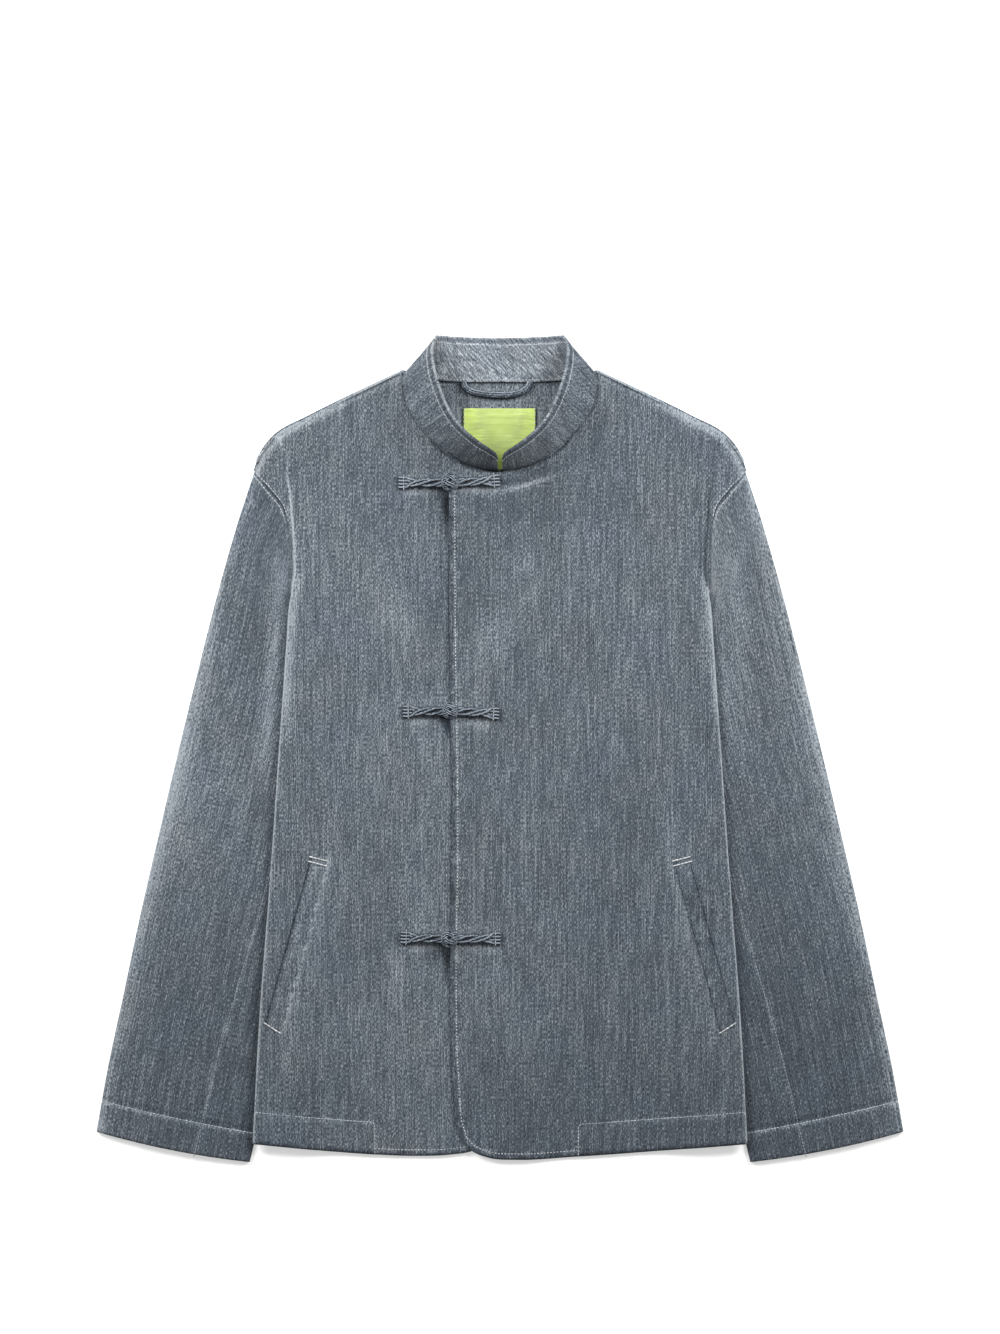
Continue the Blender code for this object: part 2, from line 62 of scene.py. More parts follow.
# Cloth and how the layers lie on each other, as in the solids
WALL = 1.2
COLLAR_WALL = 2.4
LABEL_WALL = 0.7
WELT_WALL = 1.4
LAID_ON = 0.3
SEAM_SHIFT = 0.5
BODY_AIR = 1.4
SLEEVE_RAISE = 6.3
RAISE_RAMP = 60
FRONT_TOP = WALL + BODY_AIR + WALL
OVERLAP_RAISE = 1.9
OVERLAP_FLAT_TO = 12
OVERLAP_FADED_BY = 60
ARMHOLE_FADE_FROM = 120
ARMHOLE_FADE_TO = 285
SLEEVE_EDGE = 3.8
SLEEVE_WIDE = 150
CUFF_BOW = 3
FOLD_INSET = 2
FOLD_LEAST_RUN = 1
SIDE_HOLD = 4
BACK_HEM_DIP = 12
SHOULDER_CURL = 1.5
SHOULDER_CURL_WIDTH = 16
TO_ARM_FROM, TO_ARM_OVER = 120, 50
COLLAR_STAND = 40

# Steps of the cloth grids, about 2 mm apart where they show
FOLD_ARC_STEPS = 10
FOLD_RUN_STEPS = 4
BODY_ROWS = 200
ARMHOLE_ROWS = 64
OVERLAP_COLUMNS = 26
OVERLAP_EASE = 1.6
NECK_COLUMNS = 54
SHOULDER_COLUMNS = 46
BACK_BODY_ROWS = 60
BACK_ARMHOLE_ROWS = 60
BACK_NECK_COLUMNS = 34
BACK_SHOULDER_COLUMNS = 40
SLEEVE_ROWS = 196
CAP_EXTRA_ROWS = [1.2, 2.2, 3.7, 4.6, 7.4]
HEM_EXTRA_ROWS = [-1.4, 0, 1.4, 3]
SLEEVE_LOWER_STEPS = 36
SLEEVE_UPPER_STEPS = 76
SLEEVE_FOLD_STEPS = 10
COLLAR_HALF_STEPS = 140
COLLAR_RISE_STEPS = 46
WELT_ROWS = 72
WELT_COLUMNS = 16
LABEL_ROWS, LABEL_COLUMNS = 41, 46
LOOP_STEPS = 60

# Steps of lines: in each span of a smooth one, to measure one, and of a straight one
SPAN_STEPS, ROUGH_STEPS, STRAIGHT_STEPS = 20, 100, 160

Ring = namedtuple("Ring", "outer_x outer_y inner_x inner_y rise")
SideRow = namedtuple("SideRow", "fold_x fold_y end_x end_y end_z")
CollarRow = namedtuple("CollarRow", "base_x base_y base_z top_x top_y top_z")
Point = namedtuple("Point", "x y")
Frog = namedtuple("Frog", "knot_x knot_y knot_r loop_x loop_y tail_x tail_y")
Crease = namedtuple("Crease", "from_x from_y to_x to_y bow half_width height")
Lump = namedtuple("Lump", "height stretch size seed")
Lift = namedtuple("Lift", "y reach height")
TonePatch = namedtuple("TonePatch", "x y half_long half_wide turn paler")
Stitch = namedtuple("Stitch", "pitch long thick")
Strand = namedtuple("Strand", "away drop radius tone")
Pattern = namedtuple("Pattern", "source across along turn detail share")
Sheet = namedtuple("Sheet", "width length area lies_on")


def listed(kind, *rows):
    """Table of rows of one kind."""
    return [kind(*row) for row in rows]


ARMHOLE = listed(
    Point,
    (226, 254.5), (211.5, 237.5), (199.5, 222.5), (195.6, 207), (194.9, 186), (194.6, 163),
    (193.6, 143),
)
UNDERARM = ARMHOLE[-1]
SLEEVE = listed(
    Ring,
    (239.5, 213, 183, 121, 5.2),
    (251, 174, 166, 96, 5.1),
    (264, 126, 147, 65, 5),
    (278.6, 68, 134, 27, 5),
    (296.6, -5.5, 140, -42, 5),
    (313.8, -79, 158.5, -115, 5),
    (331, -154, 179.5, -189, 5),
    (346.6, -228, 200, -262, 5),
    (360.5, -293, 217, -325, 5),
    (371, -352, 230, -380, 5),
)
SIDE = listed(
    SideRow,
    (227, -363, 197, -361.5, 6.3),
    (223.5, -290, 193.5, -290, 6.3),
    (220, -232, 190, -232, 6.3),
    (214, -155, 184, -155, 6.3),
    (208.8, -85, 179.5, -85, 6.3),
    (204, -15, 176.5, -15, 6.3),
    (199.8, 45, 176.5, 45, 6.3),
    (196, 100, 181.5, 99, 6.3),
    (193.6, 132, 189, 131, 6.2),
    (190.6, 149, 193, 148.5, 6.4),
    (188.6, 163, 193.9, 163, 5.3),
    (189.4, 186, 194.4, 186, 5.2),
    (191, 207, 195.2, 207.2, 5),
    (192.4, 225, 199.2, 223, 4.9),
    (194.2, 244, 211.2, 237.9, 4.4),
    (197, 264, 225.2, 255.6, 3.8),
    (200, 277, 218.4, 271.5, 3.8),
    (203.4, 287.4, 206.4, 286.6, 3.8),
)
UNDERARM_ROW = 8
NECK = listed(
    Point,
    (2.6, 254.4), (15, 255.4), (37.8, 263.6), (55.6, 275.4), (72.2, 295), (83.6, 312), (90.6, 330),
    (91.2, 345.6),
)
SHOULDER = listed(Point, (91.2, 345.6), (139, 322.2), (175, 304.4), (203.4, 287.4))
OVER_EDGE = listed(
    Point,
    (-35, -361), (-40.5, -343), (-42.5, -318), (-44.3, -47), (-46.5, 118), (-47, 246),
)
OVER_HEM = listed(
    Point,
    (-35, -361), (-26, -369.6), (-10, -376), (17, -377.8), (71.3, -375), (227, -363),
)
OVER_TOP = listed(Point, (-47, 246), (-25, 251.6), (2.6, 254.4))
UNDER_EDGE = listed(Point, (11, -361), (4.6, -347), (2.6, -325), (2.6, -47), (2.6, 254.4))
UNDER_HEM = listed(
    Point,
    (11, -361), (26, -370), (44, -373), (78, -374.4), (116, -373), (227, -363),
)
BACK_NECK = listed(Point, (0, 335.8), (30, 335.8), (56, 337.2), (76, 340.9), (87.6, 345.4))
BACK_SHOULDER = listed(
    Point,
    (90, 348.2), (139, 325), (175, 307), (209, 287.6), (221.6, 270.4), (226.4, 255.6),
)
BACK_SIDE = listed(
    Point,
    (196.4, -357), (189.4, -232), (178.9, -85), (175.6, -10), (175.4, 45), (180.2, 98), (185, 130),
    (186.2, 160), (187.4, 186), (190.6, 207), (198.4, 222.6), (211, 238.4), (226.4, 255.6),
)
BACK_UNDERARM = 6
COLLAR = listed(
    CollarRow,
    (0, 337, 1.5, 0, 377.6, 1.8),
    (30, 337, 1.5, 28, 378.2, 2),
    (56, 338.6, 1.5, 47, 379.2, 2.6),
    (75, 342.2, 1.8, 55, 379.6, 4),
    (84.6, 345, 2.3, 58.6, 377.8, 7),
    (88.6, 342.4, 3, 61, 372, 11.5),
    (89, 334, 3.7, 61.8, 362, 18),
    (86.8, 322, 4.4, 59.4, 346, 25),
    (80.6, 308, 4.8, 54, 328, 29.5),
    (69.6, 293.6, 4.8, 45.6, 308, 32.5),
    (54, 277.4, 4.8, 33.6, 292, 34.5),
    (37, 265.4, 4.8, 21.4, 281.4, 35),
    (15, 257.4, 4.8, 9.6, 273.2, 34.5),
    (2.3, 256.2, 4.8, 2.5, 268.6, 30),
)
FROGS = listed(
    Frog,
    (-45.8, 244.2, 8.8, -94, 244.6, 0.5, 246.6),
    (-45.6, 34.6, 7.9, -90, 34.2, 0, 32.4),
    (-46.4, -174.4, 8.5, -92, -173.2, 1.4, -173.8),
)
# Welt corners in order: opening top, opening bottom, sewn bottom, sewn top
WELT = listed(Point, (173, -99.4), (215.2, -252.2), (202.2, -260.6), (158.8, -103))
WELT_WIDE = 15
WELT_PROUD = 0.45
WELT_LET_IN = 1.1
LABEL_LEFT, LABEL_RIGHT = -34, 33
LABEL_TOP, LABEL_BOTTOM = 312.8, 256.4
LOOP = listed(
    Point,
    (-34, 337), (-31.6, 331.6), (-25.6, 328.2), (-14, 325.8), (-2, 325), (10, 325.4),
    (19.6, 327.8), (25.6, 332), (27.8, 337),
)
LOOP_HALF, LOOP_LIFT = 1.5, 1.4
# The lower strands are painted darker: painted shade on the loop's lower side
LOOP_STRANDS = listed(
    Strand, (-1.9, 0, 1.35, 0.02), (0, 0.6, 1.5, -0.12), (1.9, 0.2, 1.35, -0.3)
)

# How the scene closes the seams that the solids leave 0.3 mm open
NECK_CLOSE = 1
UNDER_CLOSE = 4
BACK_UNDER_COLLAR = 2.4
COLLAR_BASE_LIFT = 0.8
SLEEVE_TUCK = 2.2
SLEEVE_TUCK_RUN = 4.5
SLEEVE_TUCK_CLEAR = 0.15
COLLAR_END_ROUND = 6
COLLAR_END_DROP = 0.16

# Sewing: how far each row of stitches lies from its edge, and the stitches themselves
EDGE_STITCH = 5.4
HEM_DEEP = 29.5
HEM_CORNER = 4
HEM_BELOW = -340
CUFF_DEEP = 28.5
HEM_ENDS = {LEFT: 72, RIGHT: 115}
COLLAR_STITCH = 6.6
CAP_STITCH = 4.6
CAP_STITCH_TO = 214
CAP_STITCH_FROM = 253
PLAIN_STITCH = Stitch(3, 2.8, 0.95)
DOT_STITCH = Stitch(3, 1.7, 1)
BAR_TACK = Stitch(3.5, 4.4, 1.6)
LABEL_STITCH = Stitch(4, 2.6, 1.2)
FROG_STITCH = Stitch(2.4, 2.3, 0.8)
# How far the middle of a row of stitches lies above its cloth
FRONT_THREAD_UP, SLEEVE_THREAD_UP, WELT_THREAD_UP, LABEL_THREAD_UP = 0.1, 0.15, 0.2, 0.3
LABEL_STITCH_IN = 1
SEAM_STEP = 1
# Columns in from a front's end and rows up from the collar's foot where stitches run
ARMHOLE_STITCH, NECK_SEAM_ROW = 3, 2
UNDERARM_TURN = Point(191.6, 145.6)
UNDERARM_TURN_SIZE = 28
SLEEVE_SEAM = listed(
    Point,
    (196, -62), (218, -139), (238, -209), (258, -279), (273, -341), (281, -374),
)

# Creases of the two fronts and of the sleeves as they lie
FRONT_CREASES = {
    LEFT: listed(
        Crease,
        (-43, 236, 46, 249, -5, 6.5, 1.9),
        (44, 172, -34, 46, -6, 26, 2),
        (66, 60, 62, -62, 3, 13, 0.9),
        (-36, -186, 4, -300, 8, 24, 1.7),
        (95, 286, 168, 196, 9, 22, 1.3),
        (120, 120, 150, -40, -8, 30, 1.1),
        (90, -110, 70, -300, 10, 34, 1.2),
        (178, -122, 203, -131, 1.5, 5.5, 0.9),
        (184, -146, 209, -150, -1.5, 5, 0.8),
        (190, -170, 211, -179, 2, 6, 1),
        (194, -199, 214, -203, -1, 5, 0.7),
        (201, -226, 218, -236, 1, 5.5, 0.8),
    ),
    RIGHT: listed(
        Crease,
        (-112, 146, -52, 48, 7, 24, 2.2),
        (-108, 30, -112, -80, -4, 14, 1),
        (-146, -300, -56, -190, -9, 26, 1.9),
        (-100, 280, -160, 200, -8, 24, 1.2),
        (-96, 236, -130, 206, 3, 12, 0.9),
        (-150, 110, -166, -60, 8, 28, 1),
        (-176, -120, -198, -128, 1, 6, 0.6),
        (-190, -176, -210, -186, -1, 6, 0.6),
    ),
}
SLEEVE_CREASES = {
    LEFT: listed(
        Crease,
        (208, 204, 243, -30, 0, 17, 1.6),
        (293, -60, 331, -250, 0, 22, 1.2),
        (224, 226, 262, 60, -6, 12, 1),
        (214, 20, 262, -150, 6, 16, 1),
        (222, 96, 254, 120, 2, 9, 0.7),
        (240, -70, 300, -40, -4, 14, 0.7),
        (290, -250, 336, -232, 3, 15, 0.7),
    ),
    RIGHT: listed(
        Crease,
        (-208, 204, -243, -30, 0, 17, 1.5),
        (-293, -60, -331, -250, 0, 22, 1.1),
        (-226, 220, -258, 80, 6, 13, 1),
        (-216, 10, -258, -130, -6, 18, 1.1),
        (-220, 70, -262, 92, -2, 10, 0.8),
        (-236, -110, -296, -84, 4, 14, 0.7),
        (-286, -280, -344, -262, -3, 16, 0.7),
    ),
}
# Soft unevenness of the cloth, and the deepest that a sleeve's hollows go
FRONT_LUMPS = listed(Lump, (0.75, 0.55, 95, 11), (0.32, 0.6, 42, 12), (0.1, 0.7, 17, 13))
SLEEVE_LUMPS = listed(Lump, (0.6, 0.5, 70, 41), (0.3, 0.6, 34, 42), (0.1, 0.7, 15, 43))
SLEEVE_HOLLOW = 1.6
# The over front's edge stands up a little below each knot, over a shaded hollow
EDGE_LIFTS = listed(Lift, (222, 42, 4.6), (23, 21, 3.2), (-194, 32, 4.2))
EDGE_LIFT_WIDTH = 30
EDGE_X = -46

# Places painted paler, or deeper where the value is below nought: painted highlights and shade of
# soft folds and creases, with some wash
FRONT_WASH_AND_SHADE = listed(
    TonePatch,
    (-97, 127, 46, 26, -58, 0.09),
    (-112, -20, 50, 22, 90, 0.05),
    (-62, 118, 60, 22, -62, -0.07),
    (-6, 96, 62, 26, 58, 0.07),
    (-30, 150, 60, 20, 90, -0.05),
    (15, 222, 70, 22, 0, -0.07),
    (24, 252, 30, 5, 14, -0.12),
    (20, -92, 45, 28, 0, 0.04),
    (20, -255, 52, 16, 90, 0.04),
    (-178, -325, 30, 18, 0, -0.05),
    (-135, 252, 35, 16, 0, -0.04),
    (-106, -254, 50, 34, 60, 0.04),
    (-14, -226, 52, 30, 70, 0.04),
    (-160, 190, 70, 40, 90, 0.03),
    (130, 60, 120, 50, 90, 0.02),
    (-12, 238.2, 24, 2.2, 2, 0.3),
    (28, 243.6, 26, 2.2, 16, 0.28),
)


# Forms that the helpers share: a random field's side in lumps, the share of a crease that
# fades at each end, how far apart the lines of one finder count, the square of a soft limit's
# turn, and a distance beyond every seam
LUMPS = 64
CREASE_END = 0.35
LINES_APART = 2000
LEAST_TURN = 0.04
FAR = 99


def linear(hex_colour):
    """Linear colour of an sRGB hex colour."""
    parts = [int(hex_colour[i : i + 2], 16) / 255 for i in (0, 2, 4)]
    return [c / 12.92 if c < 0.04045 else ((c + 0.055) / 1.055) ** 2.4 for c in parts]


def smooth(t):
    """Eased step from 0 to 1."""
    t = np.clip(t, 0, 1)
    return t * t * (3 - 2 * t)


def even(steps):
    """Fractions from 0 to 1 in even steps."""
    return np.linspace(0, 1, steps + 1)


def unit(vectors):
    """Vectors brought to a length of 1."""
    return vectors / np.linalg.norm(vectors, axis=-1, keepdims=True)


def hermite(knots, places, wanted):
    """Smooth rows through knots that stand at places, at the places wanted."""
    knots = np.asarray(knots, float)
    slope = np.gradient(knots, places, axis=0)
    k = np.clip(np.searchsorted(places, wanted, side="right") - 1, 0, len(places) - 2)
    shape = (-1,) + (1,) * (knots.ndim - 1)
    step = (places[k + 1] - places[k]).reshape(shape)
    t = (wanted - places[k]).reshape(shape) / step
    start = (2 * t**3 - 3 * t**2 + 1) * knots[k] + (t**3 - 2 * t**2 + t) * step * slope[k]
    stop = (3 * t**2 - 2 * t**3) * knots[k + 1] + (t**3 - t**2) * step * slope[k + 1]
    return start + stop


def running(line):
    """Length in plan from the start of a line to each of its points."""
    run = np.linalg.norm(np.diff(line[:, :2], axis=0), axis=1)
    return np.concatenate([[0], np.cumsum(run)])


def curve(points, fractions):
    """Rows of a smooth line through points, at fractions of its length in plan."""
    knots = np.array(points, float)
    places = running(knots)
    line = hermite(knots, places, np.linspace(0, places[-1], SPAN_STEPS * (len(knots) - 1) + 1))
    length = running(line)
    wanted = np.array(fractions) * length[-1]
    return np.stack([np.interp(wanted, length, line[:, c]) for c in range(line.shape[1])], 1)


def stepped(points):
    """Smooth line through points, with a point about every step of a seam."""
    rough = curve(points, even(ROUGH_STEPS))
    return curve(points, even(max(int(running(rough)[-1] / SEAM_STEP), 2)))


def beside(line, away):
    """Line moved sideways in plan, to its left as it runs."""
    ahead = unit(np.gradient(line[:, :2], axis=0))
    moved = line.copy()
    moved[:, 0] -= ahead[:, 1] * away
    moved[:, 1] += ahead[:, 0] * away
    return moved


def joined(*runs):
    """Edge made of smooth runs that meet at corners."""
    return np.concatenate([runs[0]] + [run[1:] for run in runs[1:]])


def patch(bottom, top, left, right, across, up):
    """Grid ruled from bottom to top, then drawn out to its two sides."""
    u = np.array(across)[None, :, None]
    v = np.array(up)[:, None, None]
    grid = (1 - v) * bottom[None] + v * top[None]
    to_left = left[:, None] - grid[:, :1]
    to_right = right[:, None] - grid[:, -1:]
    return grid + to_left * (1 - u) ** SIDE_HOLD + to_right * u**SIDE_HOLD


def mirrored(grid, side):
    """Grid of the wearer's left or right half, faces kept outward."""
    if side == LEFT:
        return grid
    flip = np.ones(grid.shape[-1])
    flip[0] = -1
    return (grid * flip)[:, ::-1]


def uneven(x, y, size, seed):
    """Soft random field from -1 to 1 with lumps of a given size."""
    count = LUMPS
    table = np.random.default_rng(seed).uniform(-1, 1, (count, count))
    x, y = np.asarray(x) / size + count, np.asarray(y) / size + count
    i, j = np.floor(x).astype(int), np.floor(y).astype(int)
    s, t = smooth(x - i), smooth(y - j)
    i, j, n, m = i % count, j % count, (i + 1) % count, (j + 1) % count
    low = table[i, j] * (1 - s) + table[n, j] * s
    high = table[i, m] * (1 - s) + table[n, m] * s
    return low * (1 - t) + high * t


def creased(rows, x, y):
    """Height that creases add, each fading out at its ends and sides."""
    total = np.zeros(np.shape(x))
    for row in rows:
        along_x, along_y = row.to_x - row.from_x, row.to_y - row.from_y
        length = math.hypot(along_x, along_y)
        t = ((x - row.from_x) * along_x + (y - row.from_y) * along_y) / length**2
        t = np.clip(t, 0, 1)
        off = ((x - row.from_x) * along_y - (y - row.from_y) * along_x) / length
        off = np.abs(off - row.bow * 4 * t * (1 - t))
        ends = smooth(t / CREASE_END) * smooth((1 - t) / CREASE_END)
        total += row.height * ends * smooth(1 - off / row.half_width)
    return total


def lumpy(height, rows, x, y):
    """Height with soft random lumps added, each stretched along the jacket."""
    for row in rows:
        height = height + row.height * uneven(x, y * row.stretch, row.size, row.seed)
    return height


def wash_and_shade_patches(rows, x, y):
    """How much paler each place is painted, by wash and by painted light and shade of folds."""
    total = np.zeros(np.shape(x))
    for row in rows:
        turn = math.radians(row.turn)
        along = (x - row.x) * math.cos(turn) + (y - row.y) * math.sin(turn)
        aside = (y - row.y) * math.cos(turn) - (x - row.x) * math.sin(turn)
        total += row.paler * np.exp(-((along / row.half_long) ** 2) - (aside / row.half_wide) ** 2)
    return total


def plan_tree(points):
    """Search tree of points in plan."""
    tree = KDTree(len(points))
    for k, point in enumerate(points):
        tree.insert((point[0], point[1], 0), k)
    tree.balance()
    return tree


def seam_finder(lines):
    """Function that gives each place's distance to the nearest of some lines, and where on it."""
    tree = plan_tree(np.concatenate(lines))
    along = np.concatenate([running(line) + LINES_APART * k for k, line in enumerate(lines)])

    def find(x, y):
        found = [tree.find((a, b, 0)) for a, b in zip(np.ravel(x), np.ravel(y))]
        away = np.array([row[2] for row in found]).reshape(np.shape(x))
        place = along[[row[1] for row in found]].reshape(np.shape(x))
        return away, place

    return find


def sewn_down(away, place, seed, depth=0.45, pucker=0.3, reach=9):
    """Height that a row of stitches takes away, with small uneven puckers beside it."""
    waves = uneven(place, away * 0.6, 7, seed) + 0.5 * uneven(place, away * 0.3, 3.6, seed + 1)
    return pucker * waves * np.exp(-((away / reach) ** 2)) - depth * np.exp(-((away / 1.5) ** 2))


def at_least(height, least):
    """Height kept above a limit by a soft turn."""
    return 0.5 * (height + least + np.sqrt((height - least) ** 2 + LEAST_TURN))


INNER_EDGE = sorted([(UNDERARM.y, UNDERARM.x)] + [(ring.inner_y, ring.inner_x) for ring in SLEEVE])
SEAM_EDGE = [(row.end_y, row.end_x) for row in SIDE[: UNDERARM_ROW + 1]]
FOLD_EDGE = [(row.fold_y, row.fold_x) for row in SIDE]
SEAM_HEIGHT = [(row.end_y, row.end_z) for row in SIDE]
WELT_EDGE = [(corner.y, corner.x) for corner in WELT[2:]]


def edge_at(edge, y):
    """X of an edge given as (y, x) pairs, at a height on the jacket."""
    return np.interp(y, [p[0] for p in edge], [p[1] for p in edge])


def towards_arm(half):
    """Share of the way from the collar to the end of the shoulder."""
    return smooth((half - TO_ARM_FROM) / TO_ARM_OVER)


def tucked_sleeve(x, y):
    """Share of the full raise that the sleeve beneath gives the body."""
    low = np.minimum(edge_at(INNER_EDGE, y), edge_at(SEAM_EDGE, y)) - np.abs(x)
    high = np.hypot(UNDERARM.x - np.abs(x), y - UNDERARM.y)
    return smooth(1 - np.where(y < UNDERARM.y, low, high) / RAISE_RAMP)


def armhole_ridge(x, y):
    """Share of the raise along the front armhole, dying away to the shoulder."""
    away = edge_at(FOLD_EDGE, y) - np.abs(x)
    fade = smooth((ARMHOLE_FADE_TO - y) / (ARMHOLE_FADE_TO - ARMHOLE_FADE_FROM))
    return smooth(1 - away / RAISE_RAMP) * fade


def back_under(x, y):
    """Height of the back panel's underside."""
    return SLEEVE_RAISE * tucked_sleeve(x, y)


def front_top(x, y, side):
    """Height of a front panel's face in the solids; the wearer's left one overlaps."""
    lift = 1 - (1 - tucked_sleeve(x, y)) * (1 - armhole_ridge(x, y))
    height = FRONT_TOP + SLEEVE_RAISE * lift
    if side == LEFT:
        reach = (OVERLAP_FADED_BY - x) / (OVERLAP_FADED_BY - OVERLAP_FLAT_TO)
        height = height + OVERLAP_RAISE * smooth(reach)
    return height


def front_outline(side):
    """Opening edge from its top, round the lower corner and along the hem to the side."""
    if side == LEFT:
        return joined(stepped(OVER_EDGE)[::-1], stepped(OVER_HEM))
    line = joined(stepped(UNDER_EDGE)[::-1], stepped(UNDER_HEM))
    return line * [-1, 1]


def hem_height(x, side):
    """Y of a front's hem at x."""
    hem = stepped(OVER_HEM if side == LEFT else UNDER_HEM)
    return np.interp(x * side, hem[:, 0], hem[:, 1])


def front_rows_of_stitches(side):
    """Plan lines of the stitches that show on a front: its edge row and its hem row."""
    end = HEM_ENDS[side]
    line = front_outline(side)
    past_end = (line[:, 1] < HEM_BELOW) & (line[:, 0] * side > end)
    edge = beside(line, EDGE_STITCH * side)[~past_end]
    x = np.arange(end + HEM_CORNER, SIDE[0].fold_x - 3, SEAM_STEP) * side
    hem = np.stack([x, hem_height(x, side) + HEM_DEEP], 1)
    turn = np.linspace(0, math.pi / 2, 8)
    arc_x = (end + HEM_CORNER * (1 - np.sin(turn[::-1]))) * side
    arc = np.stack([arc_x, hem[0, 1] - HEM_CORNER * (1 - np.cos(turn[::-1]))], 1)
    y = np.arange(hem_height(end * side, side) + 2, arc[0, 1], SEAM_STEP)
    rise = np.stack([np.full(len(y), end * side), y], 1)
    return edge, np.concatenate([rise, arc, hem])


def straight(start, stop, side):
    """Points along a straight line of one half, as the jacket lies."""
    t = even(STRAIGHT_STEPS)[:, None]
    return (np.array(start) * (1 - t) + np.array(stop) * t) * [side, 1]


SIDES = (LEFT, RIGHT)
FRONT_STITCHES = {side: front_rows_of_stitches(side) for side in SIDES}
STITCH_FINDERS = {side: seam_finder(FRONT_STITCHES[side]) for side in SIDES}
EDGE_FINDERS = {side: seam_finder([front_outline(side)]) for side in SIDES}
SLIT_FINDERS = {side: seam_finder([straight(WELT[0], WELT[1], side)]) for side in SIDES}
WELT_SEAM_FINDERS = {side: seam_finder([straight(WELT[3], WELT[2], side)]) for side in SIDES}
NECK_FINDER = seam_finder([stepped(NECK)])
SHOULDER_FINDER = seam_finder([stepped(SHOULDER)])
CAP_EDGE = [Point(row.end_x, row.end_y) for row in SIDE[-3:]][::-1]
CAP_FINDER = seam_finder([stepped(SHOULDER[:-1] + CAP_EDGE)])


def bump(away, width):
    """Soft bump, 1 high, at no distance from a line."""
    return np.exp(-((away / width) ** 2))


def under_welt(x, y):
    """Share of a place that a welt covers, for the wearer's left half."""
    inside = np.full(np.shape(x), FAR)
    for a, b in zip(WELT, WELT[1:] + WELT[:1]):
        across = (x - a.x) * (b.y - a.y) - (y - a.y) * (b.x - a.x)
        inside = np.minimum(inside, across / math.hypot(b.x - a.x, b.y - a.y))
    return smooth(inside / 1.6 + 0.5)


def flap_shade(x, y):
    """Share of the hollow beside the over front's edge, a wedge below each knot."""
    total = np.zeros(np.shape(x))
    for lift, frog in zip(EDGE_LIFTS, FROGS):
        t = (frog.knot_y - 4 - y) / lift.reach
        wide = 2 + 9 * np.clip(1 - t, 0, 1)
        near = smooth(1.35 - (EDGE_X - x) / wide)
        total += near * smooth(t / 0.12 + 0.5) * smooth((1 - t) / 0.7)
    return total


def front_form(x, y, side):
    """Soft form that a front adds to its solid: creases, lifted edge, hem and sewing."""
    form = lumpy(creased(FRONT_CREASES[side], x, y), FRONT_LUMPS, x, y)
    if side == LEFT:
        inward = smooth((x - OVERLAP_FLAT_TO) / 40)
        form = at_least(form, -0.1 - 0.7 * inward) * smooth((x - EDGE_X + 3) / 24)
        for lift in EDGE_LIFTS:
            near_edge = smooth(1 - (x + 47) / EDGE_LIFT_WIDTH)
            form += lift.height * near_edge * smooth(1 - np.abs(y - lift.y) / lift.reach)
    else:
        form = at_least(form, -0.8) * smooth((-52 - x) / 30) - flap_shade(x, y)
    form = form * smooth((edge_at(FOLD_EDGE, y) + 6 - np.abs(x)) / 26)
    away, place = STITCH_FINDERS[side](x, y)
    form += sewn_down(away, place, 21)
    above_hem = y - hem_height(x, side)
    in_hem = smooth((HEM_DEEP - above_hem) / 2.5) * smooth((x * side - HEM_ENDS[side]) / 3 + 1)
    roped = 0.35 * uneven(x * side + above_hem * 0.6, above_hem * 0.3, 7, 23)
    form += in_hem * (0.55 + roped)
    edge, _ = EDGE_FINDERS[side](x, y)
    seam, along = WELT_SEAM_FINDERS[side](x, y)
    ridge = bump(seam - 3, 3) * (0.35 + 0.35 * uneven(along + seam, seam * 0.4, 4.5, 25))
    return form - 0.6 * bump(edge, 1.6) + ridge


def front_face(x, y, side):
    """Height of a front's face, let in below its welt and turned down at neck and shoulder."""
    x, y = np.asarray(x, float), np.asarray(y, float)
    half = np.abs(x)
    slit, _ = SLIT_FINDERS[side](x, y)
    neck, _ = NECK_FINDER(half, y)
    shoulder, _ = SHOULDER_FINDER(half, y)
    down = 0.5 * bump(slit, 1.8) + 0.5 * bump(neck, 1.8) + 0.7 * bump(shoulder, 1.5)
    down = np.maximum(down, WELT_LET_IN * under_welt(half, y))
    return front_top(x, y, side) + front_form(x, y, side) - down


